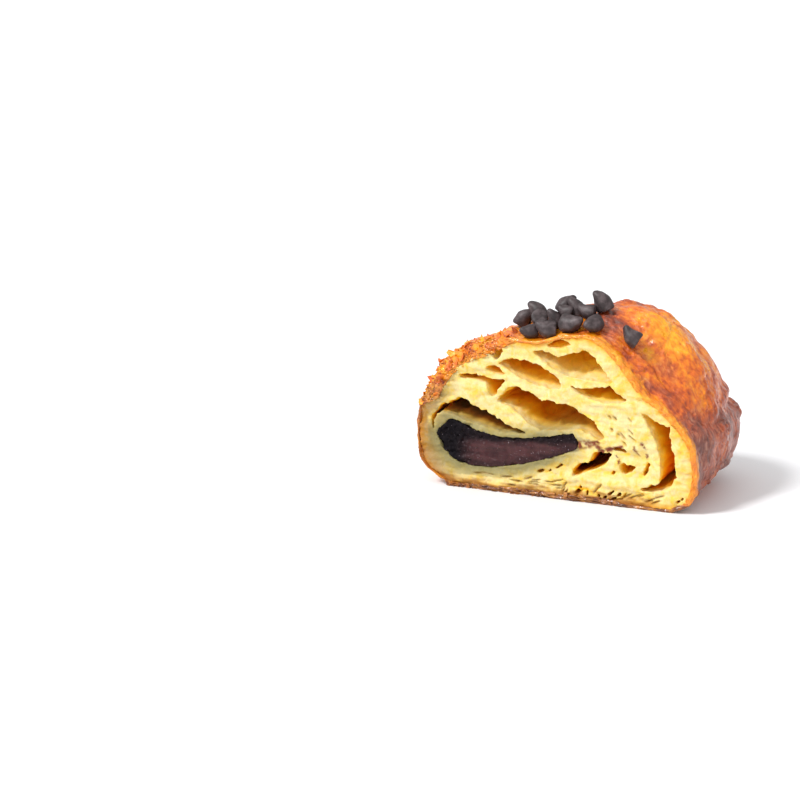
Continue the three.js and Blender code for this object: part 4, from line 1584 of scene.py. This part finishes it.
@dataclass
class Flakes:
    """The loose flakes and crumbs that cling to the crust."""

    bench: Bench
    thickness: float = 0.22
    tilt: float = 0.5  # how much a flake may stand off the crust
    rolled: float = 0.45  # how much the ends of a curl rise
    flat: float = 0.1  # how much those of a leaf rise
    above_table: float = 0.02
    patches: tuple[FlakePatch, ...] = (
        FlakePatch(FlakeKind.LEAF, 44, (114, 171), (0.4, 9), (0.8, 2.2), (0.15, 0.65)),
        FlakePatch(FlakeKind.CURL, 20, (118, 171), (0.2, 6), (0.6, 1.4), (0.15, 0.65)),
        FlakePatch(FlakeKind.CRUMB, 16, (112, 172), (0.2, 9), (0.16, 0.36), (0.3, 0.8)),
        FlakePatch(FlakeKind.LEAF, 60, (205, 318), (0.0, 2.5), (0.5, 1.4), (0.2, 0.7)),
        FlakePatch(FlakeKind.CURL, 20, (210, 318), (0.0, 2.0), (0.4, 1.0), (0.2, 0.7)),
        FlakePatch(FlakeKind.CRUMB, 16, (195, 320), (0.0, 3), (0.14, 0.3), (0.3, 0.7)),
        FlakePatch(FlakeKind.LEAF, 20, (180, 200), (2, 40), (0.5, 1.4), (0.3, 0.6)),
    )

    def plate(self, bm: bmesh.types.BMesh, size: float, curl: float, rng: np.random.Generator) -> list:
        """Add a ragged plate about its own middle.

        Args:
            bm: Where it is added.
            size: Its radius.
            curl: How much its ends rise.
            rng: Draws its outline.

        Returns:
            Its vertices.
        """
        ring = bmesh.ops.create_circle(bm, cap_ends=True, segments=11, radius=size)["verts"]
        for vert in ring:
            vert.co.x *= rng.uniform(0.6, 1.15)
            vert.co.y *= rng.uniform(0.35, 0.8)
        raised = bmesh.ops.extrude_face_region(bm, geom=list(ring[0].link_faces))["geom"]
        top = [item for item in raised if isinstance(item, bmesh.types.BMVert)]
        bmesh.ops.translate(bm, vec=(0, 0, self.thickness), verts=top)
        for vert in ring + top:
            vert.co.z += curl * vert.co.x ** 2 / size
        return ring + top

    def lump(self, bm: bmesh.types.BMesh, size: float, rng: np.random.Generator) -> list:
        """Add a lump about its own middle.

        Args:
            bm: Where it is added.
            size: Its radius.
            rng: Draws its dents.

        Returns:
            Its vertices.
        """
        verts = bmesh.ops.create_icosphere(bm, subdivisions=2, radius=size)["verts"]
        for vert in verts:
            vert.co *= rng.uniform(0.75, 1.15)
        return verts

    def build(self, crust: bpy.types.Object) -> bpy.types.Object:
        """Strew the flakes over the crust.

        Args:
            crust: The crust, still in the cut's frame.

        Returns:
            All flakes as one piece, painted and in the cut's frame.
        """
        points = vertex_places(crust.data)
        normals = vertex_normals(crust.data)
        degrees = np.degrees(np.arctan2(points[:, 2] - FORM.core[1], points[:, 0] - FORM.core[0]))
        rng = np.random.default_rng(77)
        bm = bmesh.new()
        browned = []
        for patch in self.patches:
            low, high = patch.degrees
            fits = (degrees - low) % 360 < high - low
            fits &= (points[:, 1] > patch.depth[0]) & (points[:, 1] < patch.depth[1])
            fits &= (FORM.skin(points) < 0.7) | (points[:, 1] < 1.5)
            for site in rng.choice(np.flatnonzero(fits), patch.count):
                size = rng.uniform(*patch.size)
                if patch.kind is FlakeKind.CRUMB:
                    verts = self.lump(bm, size, rng)
                else:
                    curl = self.rolled if patch.kind is FlakeKind.CURL else self.flat
                    verts = self.plate(bm, size, curl, rng)
                up = Vector(normals[site] + self.tilt * rng.uniform(-1, 1, 3)).normalized()
                turn = up.to_track_quat("Z", "Y").to_matrix().to_4x4()
                spin = Matrix.Rotation(rng.uniform(0, 2 * math.pi), 4, "Z")
                spot = Matrix.Translation(Vector(points[site] + 0.1 * normals[site]))
                bmesh.ops.transform(bm, matrix=spot @ turn @ spin, verts=verts)
                browned += [rng.uniform(*patch.browned)] * len(verts)
        bmesh.ops.holes_fill(bm, edges=[edge for edge in bm.edges if edge.is_boundary], sides=0)
        bmesh.ops.recalc_face_normals(bm, faces=bm.faces)
        for vert in bm.verts:
            vert.co.z = max(vert.co.z, self.above_table)
        thing = new_object("loose_flakes", bm)
        paint(thing.data, "bake", np.array(browned))
        return thing

    def dress(self, thing: bpy.types.Object) -> None:
        """Give the flakes the crust's material, and place them.

        Args:
            thing: The piece, still in the cut's frame.
        """
        mesh = thing.data
        bare = np.zeros(len(mesh.vertices))
        for name in ("mauve_and_shade", "rim"):
            paint(mesh, name, bare)
        paint(mesh, "base", smoothstep(7, 4, vertex_places(mesh)[:, 2]))
        mesh.materials.append(CrustFinish().material())
        self.bench.settle(thing)
        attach(thing, "root")


# The studio


@dataclass(frozen=True)
class Studio:
    """A white table, soft light from the upper left, and the photograph's camera."""

    bench: Bench
    azimuth: float = 25.4
    elevation: float = 13.2
    distance: float = 0.674
    lens: float = 100.0
    aim: tuple[float, float, float] = (-6.0, 0.0, 24.9)
    sky: float = 0.8  # strength of the white light from all round
    sun: float = 2.6
    sun_softness: float = 14.0  # how wide it looks, in degrees
    sun_turn: tuple[float, float] = (42.0, -38.0)  # away from straight down, and about the upright
    table_size: float = 8.0

    def build(self) -> None:
        """Set the floor, the lights and the camera."""
        scene = bpy.context.scene
        scene.view_settings.view_transform = "Standard"
        bm = bmesh.new()
        bmesh.ops.create_grid(bm, x_segments=1, y_segments=1, size=self.table_size)
        floor = new_object("table", bm)
        material, tree = new_material("white_table")
        shader = add_node(tree, "ShaderNodeBsdfPrincipled", Base_Color=linear("#f4f5f7"), Roughness=0.6)
        add_node(tree, "ShaderNodeOutputMaterial", Surface=shader.outputs[0])
        floor.data.materials.append(material)
        world = scene.world or bpy.data.worlds.new("studio")
        scene.world = world
        world.use_nodes = True
        background = world.node_tree.nodes.get("Background")
        background.inputs["Color"].default_value = (1.0, 1.0, 1.0, 1.0)
        background.inputs["Strength"].default_value = self.sky
        key = bpy.data.lights.new("key", "SUN")
        key.energy = self.sun
        key.angle = math.radians(self.sun_softness)
        lamp = bpy.data.objects.new("key", key)
        lean, turned = self.sun_turn
        lamp.rotation_euler = (math.radians(lean), 0.0, math.radians(turned))
        scene.collection.objects.link(lamp)
        camera = bpy.data.cameras.new("photograph")
        camera.lens = self.lens
        camera.sensor_width = 36.0
        camera.clip_start = 0.01
        view = bpy.data.objects.new("photograph", camera)
        turn, rise = math.radians(self.azimuth), math.radians(self.elevation)
        back = Vector((math.sin(turn) * math.cos(rise), -math.cos(turn) * math.cos(rise), math.sin(rise)))
        target = Vector(self.bench.to_world(np.array(self.aim)))
        view.location = target + back * self.distance
        view.rotation_euler = back.to_track_quat("Z", "Y").to_euler()
        scene.collection.objects.link(view)
        scene.camera = view


def main() -> None:
    """Build each sub-assembly in order and report it."""
    logging.basicConfig(level=logging.INFO, format="%(message)s")
    bench = Bench()
    Studio(bench).build()
    crust = Crust(bench)
    shell = crust.build()
    LOG.info("egg_washed_crust: %d faces", len(shell.data.polygons))
    crumb = Crumb(bench)
    inside = crumb.build()
    LOG.info("laminated_crumb: %d faces", len(inside.data.polygons))
    filling = Filling(bench)
    bar = filling.build()
    LOG.info("chocolate_bar: %d faces", len(bar.data.polygons))
    chips = Chips(bench)
    drops = chips.build(shell)
    flakes = Flakes(bench)
    loose = flakes.build(shell)
    LOG.info("loose_flakes: %d faces", len(loose.data.polygons))
    LOG.info("chocolate chips: %d", len(drops))
    crust.dress(shell)
    crumb.dress(inside)
    flakes.dress(loose)
    filling.dress(bar)
    chips.dress(drops)


if __name__ == "__main__":
    main()
